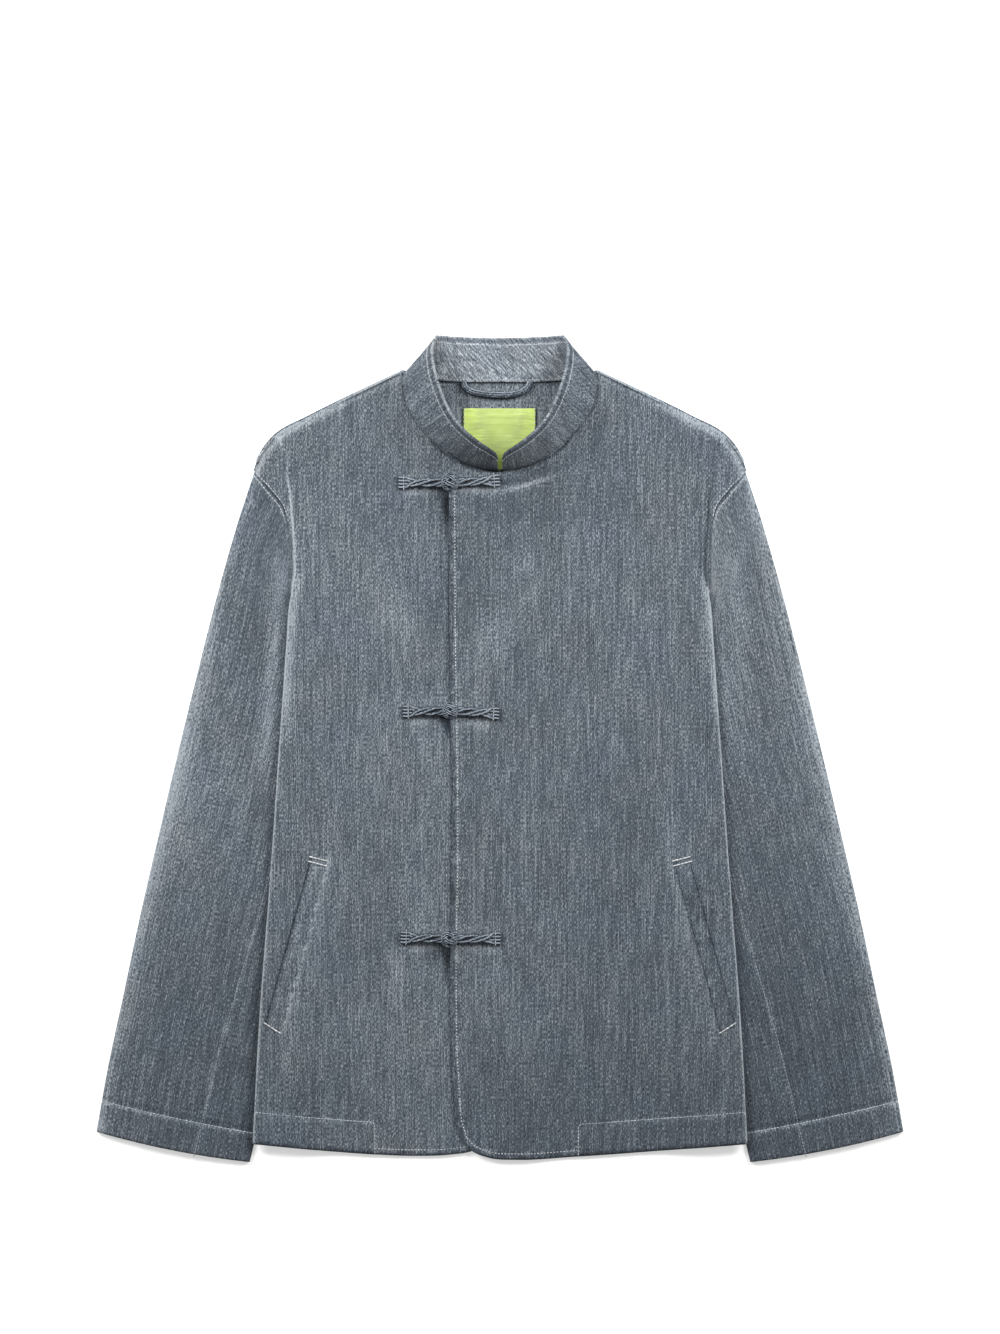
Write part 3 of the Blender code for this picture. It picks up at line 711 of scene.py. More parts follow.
def front_wear_and_shade(x, y, side):
    """Paler and deeper places of a front, from wear and from painted light and shade: each
    term is an amount, times a bump or a step in millimetres that says where it shows."""
    half = np.abs(x)
    away, place = STITCH_FINDERS[side](x, y)
    edge, _ = EDGE_FINDERS[side](x, y)
    slit, _ = SLIT_FINDERS[side](x, y)
    seam, along = WELT_SEAM_FINDERS[side](x, y)
    shoulder, _ = SHOULDER_FINDER(half, y)
    neck, _ = NECK_FINDER(half, y)
    beyond = half - edge_at(FOLD_EDGE, y)
    # Darker towards the hem: painted shade, as less light falls low on the jacket
    total = wash_and_shade_patches(FRONT_WASH_AND_SHADE, x, y) - (0.02 if side == LEFT else 0.01) * smooth((60 - y) / 420)
    total += 0.13 * bump(away, 1.8) * (0.6 + uneven(place, away, 6, 31))
    total += 0.07 * bump(away, 7) * uneven(place, away, 5, 32)
    below = smooth((UNDERARM.y - y) / 12 + 1)
    flecks = 0.1 * uneven(y * 1.5, beyond, 5, 35)
    # The fold's edge: a pale line, partly wear and partly painted highlight; above the underarm on
    # the wearer's left it is a painted shadow line instead
    fold_edge_wear_and_light = 0.42 if side == RIGHT else 0.42 - 0.68 * (1 - below)
    total += fold_edge_wear_and_light * bump(beyond + 0.4, 1.2)
    # Painted highlight along the inside of the side fold, on the upper body
    upper = smooth((170 - y) / 20) * smooth((y + 10) / 70)
    fold_highlight = 0.24 * bump(beyond + 4.5, 4.5) if side == RIGHT else 0.18 * bump(beyond + 3.5, 3.5)
    total += fold_highlight * upper
    # Beyond the fold: flecks of wear, and a painted shadow line on the fold's far side
    total += (flecks - 0.02 - 0.16 * below) * bump(beyond - 3, 1.8)
    # Painted shadow in the pocket's slit
    total -= (0.02 if side == LEFT else 0.1) * bump(slit, 1.1)
    # At the shoulder: a painted shadow line at its edge near the collar, and a painted highlight
    # along the edge towards the arm
    to_arm = towards_arm(half)
    rim, _ = CAP_FINDER(half, y)
    total = total - 0.45 * (1 - to_arm) * bump(shoulder, 1.3) + 0.15 * to_arm * bump(rim, 2)
    total += (0.1 + 0.16 * to_arm) * bump(rim - 3.6, 3.2)
    total += 0.02 * smooth((140 - y) / 120) * (side == RIGHT)
    total -= 0.035 * smooth((-270 - y) / 45) * (side == LEFT)
    total += (0.02 if side == RIGHT else 0.012) * smooth(1.4 - np.abs(x - EDGE_X) / 50)
    # At the collar's foot: a painted shadow line in front, and a little painted light round it
    at_front = smooth((300 - y) / 30)
    total = total - 0.4 * at_front * bump(neck, 1.1) + 0.06 * bump(neck, 9)
    # Painted shadow line along the opening edge
    total -= 0.12 * bump(edge, 1)
    # Painted light below and above each frog's arms, lifting the shade that they cast
    for frog in FROGS:
        arm = np.where(x < frog.knot_x, frog.loop_y, frog.tail_y)
        in_arm = smooth((x - frog.loop_x) / 12) * smooth((frog.tail_x - x) / 12)
        total += in_arm * (0.15 * bump(y - arm + 9, 5) + 0.05 * bump(y - arm - 8, 4))
    # Painted shade of small puckers: a mottled darker strip inside the opening edge
    total -= 0.15 * bump(edge - 2.6, 1.8) * (0.5 + 0.9 * uneven(place, edge, 3.4, 34))
    ropy = 0.75 + uneven(along * 1.2 + seam, seam * 0.5, 3.5, 33)
    inward = smooth((edge_at(WELT_EDGE, y) - half) / 4)
    if side == LEFT:
        total = total + 0.04 * bump(seam - 4, 3) * ropy + 0.075 * inward * bump(seam, 22)
    else:
        total = total + 0.2 * bump(seam - 2, 2.6) * ropy + 0.06 * inward * bump(seam, 22)
    # Painted shadow in the hollow below each knot and beside the over front's edge
    if side == RIGHT:
        flap, _ = EDGE_FINDERS[LEFT](x, y)
        total = total - 0.4 * flap_shade(x, y) - 0.06 * bump(flap, 1.5)
    return total


def side_fold(row, side):
    """Points from a front's face round its side fold to the end of the cloth."""
    fold_x, fold_y, end_x, end_y, end_z = row
    begin_x = fold_x - FOLD_INSET
    begin = np.array([begin_x, fold_y, float(front_face(begin_x * side, fold_y, side))])
    out = max(end_x - begin[0] - FOLD_LEAST_RUN, 0)
    turn = np.array([begin[0] + out, end_y + (fold_y - end_y) * 0.5, end_z])
    half = abs(begin[2] - end_z) / 2
    flat = min(out / (3 * half + 0.001), 1)
    reach = (1 - flat) * 4 * half / 3 + flat * out / 2
    back = (1 - flat) * 4 * half / 3 - flat * out / 2
    first = begin + [reach, 0, 0]
    second = turn + [back, 0, 0]
    points = []
    for t in even(FOLD_ARC_STEPS)[1:]:
        s = 1 - t
        points.append(s**3 * begin + 3 * s * s * t * first + 3 * s * t * t * second + t**3 * turn)
    end = np.array([end_x, end_y, end_z])
    for t in even(FOLD_RUN_STEPS)[1:]:
        points.append(turn + (end - turn) * t)
    return begin, points


def side_fractions(edge, underarm, body_rows, armhole_rows):
    """Row heights of a panel as fractions of its side edge, in even steps to the underarm."""
    run = running(np.array(edge))
    part = run[underarm] / run[-1]
    return np.concatenate([even(body_rows) * part, part + even(armhole_rows)[1:] * (1 - part)])


def fill(tree, made, inputs):
    """Set a node's inputs, each to a value or to another node's output."""
    for socket, value in dict(inputs).items():
        if isinstance(value, bpy.types.NodeSocket):
            tree.links.new(value, made.inputs[socket])
        else:
            made.inputs[socket].default_value = value


def node(tree, kind, inputs=(), **settings):
    """Node with its settings and inputs."""
    made = tree.nodes.new(kind)
    for name, value in settings.items():
        setattr(made, name, value)
    fill(tree, made, inputs)
    return made


def maths(tree, operation, *values):
    """Result of an operation on values and other nodes' outputs."""
    return node(tree, "ShaderNodeMath", dict(enumerate(values)), operation=operation).outputs[0]


def noise(tree, place, scale, detail, **more):
    """Soft random value at a place."""
    inputs = {"Vector": place, "Scale": scale, "Detail": detail, **more}
    return node(tree, "ShaderNodeTexNoise", inputs).outputs["Fac"]


def stretched(tree, place, across, along, turn=0):
    """Place for a pattern whose lumps are so many metres across and along, turned by degrees."""
    inputs = {"Vector": place, "Rotation": (0, 0, math.radians(turn)), "Scale": (across, along, 1)}
    return node(tree, "ShaderNodeMapping", inputs, vector_type="TEXTURE").outputs[0]


def bumped(tree, height, strength, distance):
    """Normal of a face that a height makes rough."""
    inputs = {"Height": height, "Strength": strength, "Distance": distance}
    return node(tree, "ShaderNodeBump", inputs).outputs["Normal"]


def ramped(tree, value, *stops):
    """Colour of a value on a ramp; each stop is a position and a colour, the two ends first."""
    ramp = node(tree, "ShaderNodeValToRGB", {"Fac": value})
    elements = ramp.color_ramp.elements
    for k, (position, colour) in enumerate(stops):
        stop = elements[k] if k < 2 else elements.new(position)
        stop.position = position
        stop.color = (*colour, 1)
    return ramp.outputs["Color"]


def material(name):
    """New material and its node tree."""
    made = bpy.data.materials.new(name)
    made.use_nodes = True
    return made, made.node_tree


def woven(tree):
    """Place on the cloth in metres along its grain, and its wash with painted light and shade."""
    grain = node(tree, "ShaderNodeUVMap", uv_map="grain").outputs["UV"]
    return grain, node(tree, "ShaderNodeAttribute", attribute_name="wash_and_light").outputs["Fac"]


def shaded(tree, **inputs):
    """Give a material's shader its inputs, whose names here have _ for each space."""
    named = {name.replace("_", " "): value for name, value in inputs.items()}
    fill(tree, tree.nodes["Principled BSDF"], named)


YARN, YARN_SHIFT = 0.00095, 9


def washed_denim(
    name, deep, middle, pale, streak=0.36, speck=0.78, twill=0.2, turn=-35, long=0.024
):
    """Stone-washed denim, twill woven from slubby yarn: short pale and dark streaks run
    along the warp, specks where the weft shows, and a dry face with no gloss. The yarns
    are 0.5 mm apart, so they are drawn about twice as coarse to show."""
    made, tree = material(name)
    grain, wash_and_light = woven(tree)
    place = node(tree, "ShaderNodeSeparateXYZ", {"Vector": grain}).outputs
    number = maths(tree, "FLOOR", maths(tree, "DIVIDE", place["X"], YARN))
    by_yarn = node(tree, "ShaderNodeTexWhiteNoise", {"W": number}, noise_dimensions="1D")
    own = by_yarn.outputs["Value"]
    shifted = maths(tree, "MULTIPLY_ADD", own, YARN_SHIFT, place["Y"])
    yarns = node(tree, "ShaderNodeCombineXYZ", {"X": own, "Y": shifted}).outputs[0]
    # The attribute adds wash and painted light and shade to the dye
    total = maths(tree, "ADD", wash_and_light, 0.5)
    for pattern in listed(
        Pattern,
        (yarns, 0.0130, 0.020, 0, 0, streak),
        (yarns, 0.0170, 0.085, 0, 0, 0.8 * streak),
        (grain, 0.0009, 0.0024, 0, 0, speck),
        (grain, 0.0009, long, turn, 0, twill),
        (grain, 0.0180, 0.060, 0, 2, 0.10),
    ):
        place = stretched(tree, pattern.source, pattern.across, pattern.along, pattern.turn)
        lumps = noise(tree, place, 1, pattern.detail, Roughness=0.6)
        centred = maths(tree, "SUBTRACT", lumps, 0.5)
        total = maths(tree, "MULTIPLY_ADD", centred, pattern.share, total)
    dye = ramped(tree, total, (0.08, linear(deep)), (0.92, linear(pale)), (0.5, linear(middle)))
    warm, cool = (1.02, 1, 0.97), (0.975, 1, 1.03)
    tint = ramped(tree, noise(tree, grain, 16, 2), (0.3, warm), (0.7, cool))
    both = {"Factor": 1, 6: dye, 7: tint}
    dyed = node(tree, "ShaderNodeMix", both, data_type="RGBA", blend_type="MULTIPLY").outputs[2]
    normal = bumped(tree, total, 0.3, 0.0005)
    shaded(tree, Base_Color=dyed, Normal=normal, Roughness=0.92, Specular_IOR_Level=0.2)
    shaded(tree, Sheen_Weight=0.06, Sheen_Roughness=0.6)
    return made


def sewing_thread(name, hex_colour):
    """Spun polyester thread: matt, with a faint sheen and a twist too fine to show."""
    made, tree = material(name)
    place = node(tree, "ShaderNodeTexCoord").outputs["Object"]
    base = linear(hex_colour)
    deep, pale = [0.6 * c for c in base], [min(1.25 * c, 1) for c in base]
    colour = ramped(tree, noise(tree, place, 260, 1), (0.3, deep), (0.7, pale))
    shaded(tree, Base_Color=colour, Roughness=0.7, Sheen_Weight=0.1)
    return made


def woven_label(name, deep, pale, lit_colour):
    """Woven satin label: fine weft ribs, a soft sheen and a slightly cloudy dye, with
    painted light that makes it brighter where the collar shades it."""
    made, tree = material(name)
    grain, wash_and_light = woven(tree)
    ribs = noise(tree, stretched(tree, grain, 0.012, 0.0014), 1, 1)
    cloud = noise(tree, grain, 70, 2)
    light_share = maths(tree, "MULTIPLY", wash_and_light, 0.5)
    total = maths(tree, "MULTIPLY_ADD", cloud, 0.5, maths(tree, "MULTIPLY_ADD", ribs, 0.5, light_share))
    dye = ramped(tree, total, (0.3, linear(deep)), (0.7, linear(pale)), (1, linear(lit_colour)))
    normal = bumped(tree, ribs, 0.25, 0.0003)
    shaded(tree, Base_Color=dye, Normal=normal, Roughness=0.55, Sheen_Weight=0.2)
    return made


def paper_floor(name, hex_colour):
    """Seamless studio paper on a light table: matt, white and shadowless, with a faint tooth."""
    made, tree = material(name)
    place = node(tree, "ShaderNodeTexCoord").outputs["Object"]
    normal = bumped(tree, noise(tree, place, 900, 2), 0.05, 0.0002)
    shaded(tree, Base_Color=(*linear(hex_colour), 1), Normal=normal, Roughness=0.95)
    shaded(tree, Emission_Color=(1, 1, 1, 1), Emission_Strength=0.4)
    return made


DENIM = washed_denim("stone_washed_denim", "1D2228", "4E565F", "9DA4AA")
COLLAR_LINING = washed_denim(
    "bias_cut_denim", "2A3138", "6A7179", "BCC2C8",
    streak=0.15, speck=0.8, twill=0.9, turn=45, long=0.012,
)
CORD_DENIM = washed_denim(
    "rolled_denim_cord", "0D1218", "2F3742", "949EA9", streak=0.4, speck=1, twill=0.3, turn=40
)
THREAD = sewing_thread("pale_grey_thread", "B0B6BC")
WHITE_THREAD = sewing_thread("white_thread", "C6CACB")
WORN_THREAD = sewing_thread("worn_grey_thread", "8A9198")
# The last colour is the label's painted light, where the collar shades it
LABEL_CLOTH = woven_label("lime_woven_label", "A2B957", "BECF7F", "E2F984")


# Painted highlight along each cord's crown, where the light falls, and painted shade all round
CORD_CROWN, CORD_SHADE = 0.62, 0.2

# Pieces that stand for the solids, and the sewing on them
pieces, sewing = {}, {}


def finished(name, mesh, material):
    """Object made from a mesh, at the origin, with smooth faces."""
    if not mesh.materials:
        mesh.materials.append(material)
    mesh.shade_smooth()
    piece = bpy.data.objects.new(name, mesh)
    bpy.context.scene.collection.objects.link(piece)
    return piece


def grained_mesh(name, points, faces, grain, wash_and_light):
    """Mesh of points in millimetres, with the grain of its face corners and its points' wash and
    painted light and shade.
    """
    mesh = bpy.data.meshes.new(name)
    mesh.from_pydata((points * MM).tolist(), [], faces)
    mesh.uv_layers.new(name="grain").data.foreach_set("uv", (grain * MM).astype("f4").ravel())
    wash_and_light_values = mesh.attributes.new("wash_and_light", "FLOAT", "POINT").data
    wash_and_light_values.foreach_set("value", wash_and_light.astype("f4").ravel())
    return mesh


def cloth(name, grid, grain, wash_and_light, wall, material=DENIM, tube=False, middle=False, lining=None):
    """Piece of cloth: a grid of face points with its wall laid behind the face."""
    rows, columns = grid.shape[:2]
    spans = columns if tube else columns - 1
    j, i = np.meshgrid(np.arange(rows - 1), np.arange(spans), indexing="ij")
    n = (i + 1) % columns
    low, high = j * columns, (j + 1) * columns
    faces = np.stack([low + i, low + n, high + n, high + i], -1)
    corners = np.stack([grain[j, i], grain[j, i + 1], grain[j + 1, i + 1], grain[j + 1, i]], 2)
    mesh = grained_mesh(name, grid.reshape(-1, 3), faces.reshape(-1, 4).tolist(), corners, wash_and_light)
    pieces[name] = finished(name, mesh, material)
    thick = pieces[name].modifiers.new("wall", "SOLIDIFY")
    thick.thickness = wall * MM
    thick.offset = 0 if middle else -1
    if lining:
        mesh.materials.append(lining)
        thick.material_offset = 1


def cords(name, paths, ups, radii, tones, sides=10, closed=False):
    """Piece of round cords, each along a path with its own up directions, radii and tone."""
    points, faces, grain, wash_and_light = [], [], [], []
    turn = 2 * np.pi * np.arange(sides) / sides
    # Painted highlight on each cord's crown, painted shade round the rest
    crown = CORD_CROWN * np.maximum(np.sin(turn), 0) ** 5 - CORD_SHADE
    for path, up, radius, tone in zip(paths, ups, radii, tones):
        ahead = np.roll(path, -1, 0) - np.roll(path, 1, 0) if closed else np.gradient(path, axis=0)
        ahead = unit(ahead)
        aside = unit(np.cross(ahead, up))
        lift = np.cross(aside, ahead)
        cos, sin = np.cos(turn)[None, :, None], np.sin(turn)[None, :, None]
        ring = cos * aside[:, None] + sin * lift[:, None]
        ring = path[:, None] + ring * radius[:, None, None]
        start, count = sum(len(p) for p in points), len(path)
        points.append(ring.reshape(-1, 3))
        length = np.concatenate([[0], np.cumsum(np.linalg.norm(np.diff(path, axis=0), axis=1))])
        wash_and_light.append(np.tile(crown + tone, count))
        for j in range(count if closed else count - 1):
            m = (j + 1) % count
            step = 2 * np.pi * radius[j] / sides
            low, high = length[j], length[j] + (length[m] - length[j] if m else length[1])
            for i in range(sides):
                n = (i + 1) % sides
                faces.append([start + a * sides + b for a, b in ((j, i), (m, i), (m, n), (j, n))])
                left, right = i * step, (i + 1) * step
                grain += [(left, low), (left, high), (right, high), (right, low)]
        if not closed:
            for j, order in ((0, 1), (count - 1, -1)):
                faces.append([start + j * sides + b for b in range(sides)][::order])
                grain += [(0, length[j])] * sides
    mesh = grained_mesh(name, np.concatenate(points), faces, np.array(grain), np.concatenate(wash_and_light))
    pieces[name] = finished(name, mesh, CORD_DENIM)


def stitch_tree():
    """Geometry Nodes tree that lays stitches along lines, each a small rounded thread."""
    tree = bpy.data.node_groups.new("stitches_along_lines", "GeometryNodeTree")
    kinds = {"Lines": "Geometry", "Pitch": "Float", "Length": "Float", "Thickness": "Float"}
    sockets = {}
    for title, kind in (kinds | {"Thread": "Material"}).items():
        made = tree.interface.new_socket(title, in_out="INPUT", socket_type="NodeSocket" + kind)
        sockets[title] = made.identifier
    tree.interface.new_socket("Stitches", in_out="OUTPUT", socket_type="NodeSocketGeometry")
    given = node(tree, "NodeGroupInput").outputs
    spaced = {"Curve": given["Lines"], "Length": given["Pitch"]}
    places = node(tree, "GeometryNodeCurveToPoints", spaced, mode="LENGTH").outputs
    thread = node(tree, "GeometryNodeMeshUVSphere", {"Segments": 6, "Rings": 5, "Radius": 0.5})
    share = node(tree, "FunctionNodeRandomValue", {2: 0.86, 3: 1.08, "Seed": 5}, data_type="FLOAT")
    length = maths(tree, "MULTIPLY", given["Length"], share.outputs[1])
    thick = given["Thickness"]
    size = node(tree, "ShaderNodeCombineXYZ", {"X": thick, "Y": thick, "Z": length})
    stitches = {
        "Points": places["Points"],
        "Instance": thread.outputs["Mesh"],
        "Rotation": places["Rotation"],
        "Scale": size.outputs[0],
    }
    laid = node(tree, "GeometryNodeInstanceOnPoints", stitches).outputs[0]
    for kind in ("GeometryNodeRealizeInstances", "GeometryNodeSetShadeSmooth"):
        laid = node(tree, kind, {"Geometry": laid}).outputs[0]
    dyed = node(tree, "GeometryNodeSetMaterial", {"Geometry": laid, "Material": given["Thread"]})
    node(tree, "NodeGroupOutput", {0: dyed.outputs[0]})
    return tree, sockets


STITCHES, STITCH_SOCKETS = stitch_tree()


def sewn(name, lines, thread=THREAD, stitch=PLAIN_STITCH):
    """Rows of stitches along lines of points, as one plain mesh."""
    guide = bpy.data.curves.new(name, "CURVE")
    guide.dimensions = "3D"
    for line in lines:
        spline = guide.splines.new("POLY")
        spline.points.add(len(line) - 1)
        flat = np.concatenate([np.asarray(line) * MM, np.ones((len(line), 1))], 1)
        spline.points.foreach_set("co", flat.astype("f4").ravel())
    holder = bpy.data.objects.new(name + "_guide", guide)
    bpy.context.scene.collection.objects.link(holder)
    laid = holder.modifiers.new("stitches", "NODES")
    laid.node_group = STITCHES
    for title, size in zip(("Pitch", "Length", "Thickness"), stitch):
        laid[STITCH_SOCKETS[title]] = size * MM
    laid[STITCH_SOCKETS["Thread"]] = thread
    graph = bpy.context.evaluated_depsgraph_get()
    mesh = bpy.data.meshes.new_from_object(holder.evaluated_get(graph), depsgraph=graph)
    mesh.name = name
    bpy.data.objects.remove(holder)
    bpy.data.curves.remove(guide)
    sewing[name] = finished(name, mesh, thread)


def on_front(line, side):
    """Plan line laid on a front's face."""
    return np.column_stack([line, front_face(line[:, 0], line[:, 1], side) + FRONT_THREAD_UP])


def front(name, side):
    """Front panel from its opening edge round the side fold to the side seam."""
    edge, hem = (OVER_EDGE, OVER_HEM) if side == LEFT else (UNDER_EDGE, UNDER_HEM)
    up = side_fractions(SIDE, UNDERARM_ROW, BODY_ROWS, ARMHOLE_ROWS)
    folds = [side_fold(row, side) for row in curve(SIDE, up)]
    right = np.array([begin[:2] for begin, _ in folds])
    shoulder = SHOULDER[:-1] + [Point(*right[-1])]
    neck = curve(NECK, even(NECK_COLUMNS))
    tucked = UNDER_CLOSE * smooth((306 - neck[:, 1]) / 20) * (side == RIGHT)
    neck = beside(neck, NECK_CLOSE + tucked)
    runs = [neck, curve(shoulder, even(SHOULDER_COLUMNS))]
    if side == LEFT:
        runs = [curve(OVER_TOP, even(OVERLAP_COLUMNS) ** OVERLAP_EASE)] + runs
    top = joined(*runs)
    across = running(top) / running(top)[-1]
    bottom = curve(hem[:-1] + [Point(*right[0])], across)
    plan = patch(bottom, top, curve(edge, up), right, across, up)
    face = np.dstack([plan, front_face(plan[..., 0] * side, plan[..., 1], side)])
    tail = np.array([[begin] + points for begin, points in folds])
    grid = np.concatenate([face[:, :-1], tail], 1)
    run = np.cumsum(np.linalg.norm(np.diff(tail, axis=1), axis=2), 1)
    grain_x = np.concatenate([plan[..., 0], plan[:, -1:, 0] + run], 1)
    grain = np.dstack([grain_x, grid[..., 1]])
    wash_and_light = front_wear_and_shade(grid[..., 0] * side, grid[..., 1], side)
    if side == RIGHT:
        wash_and_light = wash_and_light[:, ::-1]
    grid = mirrored(grid, side)
    cloth(name, grid, mirrored(grain, side), wash_and_light, WALL)
    return grid


def back(name):
    """Back panel: its underside lies on the floor and climbs over the sleeves."""
    up = side_fractions(BACK_SIDE, BACK_UNDERARM, BACK_BODY_ROWS, BACK_ARMHOLE_ROWS)
    neck = curve(BACK_NECK, even(BACK_NECK_COLUMNS)) + [0, BACK_UNDER_COLLAR]
    slope = curve(BACK_SHOULDER, even(BACK_SHOULDER_COLUMNS))
    half = np.concatenate([neck, slope])
    flip = np.array([-1, 1])
    top = np.concatenate([(half * flip)[::-1][:-1], half])
    across = even(len(top) - 1)
    right = curve(BACK_SIDE, up)
    middle = 2 * across - 1
    bottom = np.stack([middle * right[0, 0], right[0, 1] - BACK_HEM_DIP * (1 - middle**2)], 1)
    plan = patch(bottom, top, right * flip, right, across, up)
    x, y = plan[..., 0], plan[..., 1]
    near, _ = seam_finder([stepped(BACK_SHOULDER)])(np.abs(x), y)
    at_neck, _ = seam_finder([stepped(BACK_NECK)])(np.abs(x), y)
    curl = SHOULDER_CURL * smooth(1 - near / SHOULDER_CURL_WIDTH)
    curl = curl * smooth((np.abs(x) - NECK[-1].x) / SHOULDER_CURL_WIDTH)
    grid = np.dstack([plan, back_under(x, y) + curl])[:, ::-1]
    to_arm = towards_arm(np.abs(x))
    # Painted light on the back's strip at the shoulder, with a painted shadow line at its edge
    # towards the arm; a painted shadow line along the neck seam; painted light beside the label
    # where the collar shades it; and a small lift overall
    edge = 0.3 * bump(near, 3) + to_arm * (0.2 * bump(near - 3, 2) - 0.75 * bump(near, 1))
    beside_label = bump(np.maximum(LABEL_LEFT - x, x - LABEL_RIGHT) - 1.5, 2.5)
    beside_label = beside_label * smooth((LABEL_TOP + 2 - y) / 4) * smooth((y - LABEL_BOTTOM) / 10)
    wash_and_light = (edge - 0.12 * bump(at_neck, 3) + 0.24 * beside_label + 0.12)[:, ::-1]
    cloth(name, grid, plan[:, ::-1], wash_and_light, WALL)


def sleeve_section():
    """Round the flat tube: share of its width, steps out at folds, level, and what is on top."""
    radius = SLEEVE_EDGE / 2
    turn = np.radians(np.linspace(-90, 90, SLEEVE_FOLD_STEPS + 1))[1:-1]
    lower, upper = even(SLEEVE_LOWER_STEPS), even(SLEEVE_UPPER_STEPS)[::-1]
    share = np.concatenate([lower, np.ones(len(turn)), upper, np.zeros(len(turn))])
    beyond = np.concatenate([0 * lower, radius * np.cos(turn), 0 * upper, -radius * np.cos(turn)])
    rising, falling = radius * (1 + np.sin(turn)), radius * (1 - np.sin(turn))
    level = np.concatenate([0 * lower, rising, 0 * upper, falling])
    on_top = np.concatenate([0 * lower, 0 * turn, 1 + 0 * upper, 0 * turn]).astype(bool)
    return share, beyond, level, on_top


def sleeve_plan(share, beyond, let_in):
    """Plan of a sleeve's rows from armhole to cuff, how far down each lies, and its rise."""
    radius = SLEEVE_EDGE / 2
    rings = [Ring(*ARMHOLE[0], *ARMHOLE[-1], SLEEVE[0].rise)] + SLEEVE
    control = []
    for k, ring in enumerate(rings):
        outer = np.array([ring.outer_x, ring.outer_y])
        inner = np.array([ring.inner_x, ring.inner_y])
        width = np.linalg.norm(inner - outer)
        f = (radius + share * (width - 2 * radius) + beyond) / width
        points = outer + f[:, None] * (inner - outer)
        if k == 0:
            out = (SEAM_SHIFT - SLEEVE_TUCK * let_in)[:, None]
            points = curve(ARMHOLE, np.clip(f, 0, 1)) + out * [1, -1]
        if k == len(rings) - 1:
            points[:, 1] -= CUFF_BOW * 4 * f * (1 - f)
        control.append(points)
    places = running(np.array([points.mean(0) for points in control]))
    at_cuff_hem = places[-1] - CUFF_DEEP + np.array(HEM_EXTRA_ROWS)
    wanted = np.linspace(0, places[-1], SLEEVE_ROWS + 1)
    wanted = np.sort(np.concatenate([wanted, CAP_EXTRA_ROWS, at_cuff_hem]))
    rise = np.interp(wanted, places, [ring.rise for ring in rings])[:, None]
    return hermite(np.array(control), places, wanted), wanted, rise


def sleeve_wear_and_shade(side, x, y, wanted, across, from_cuff, from_body, aside, place):
    """Paler and deeper places of a sleeve, from wear and painted light and shade, in terms like a
    front's.
    """
    wash_and_light = 0.09 * bump(across, 12) + 0.05 * bump(across, 45)
    wash_and_light += 0.11 * bump(across, 4) * smooth((wanted - 40) / 60)[:, None]
    worn, seam_wear = (0.075, 0.2) if side == RIGHT else (0.04, 0.14)
    wash_and_light += worn * bump(across, 18) * bump(y + 15, 110)
    wash_and_light += seam_wear * bump(aside, 1.8) * (0.7 + 0.6 * uneven(place, aside, 6, 45))
    at_hem = np.abs(from_cuff - CUFF_DEEP)
    wash_and_light += 0.17 * bump(at_hem, 2) * (0.7 + 0.6 * uneven(across, at_hem, 6, 47))
    wash_and_light = wash_and_light - 0.13 * bump(from_cuff - CUFF_DEEP - 3, 1.8) + 0.1 * bump(from_cuff, 2)
    # Painted shade on the sleeve beside the body's edge below the underarm, and painted light
    # beside it in the armhole
    beside_body = bump(np.maximum(from_body, 0), 7)
    under_arm = 0.1 * smooth(-y / 80) if side == RIGHT else 0.02
    wash_and_light -= np.where(y < UNDERARM.y, under_arm, -0.12) * beside_body
    wash_and_light -= 0.08 * bump(y - 234, 18) * (x < 226)
    # Darker towards the cuff: painted shade, as less light falls low on the jacket
    wash_and_light -= 0.06 * smooth((wanted[:, None] - 220) / 300)
    # Painted highlights of soft rolls beside the body, on the upper sleeve
    if side == RIGHT:
        deeper = 0.06 * smooth((260 - wanted) / 120) - 0.02 * bump(wanted - 260, 90)
        roll_highlights = 0.17 * bump(from_body - 12, 9)
    else:
        deeper = 0.06 * smooth(wanted / 160) - 0.025
        roll_highlights = 0.09 * bump(from_body - 24, 10) + 0.08 * bump(from_body - 6, 8)
    band = smooth((190 - y) / 30) * smooth((y + 60) / 90)
    wash_and_light = wash_and_light - deeper[:, None] + band * roll_highlights
    # At the armhole: a pale stitch row, and a painted shadow line at the seam
    at_armhole = 0.18 * bump(wanted - CAP_STITCH, 1.2) - 0.12 * bump(wanted - 2.4, 1.2)
    return wash_and_light + at_armhole[:, None] * smooth((y - CAP_STITCH_TO) / 12 + 1)


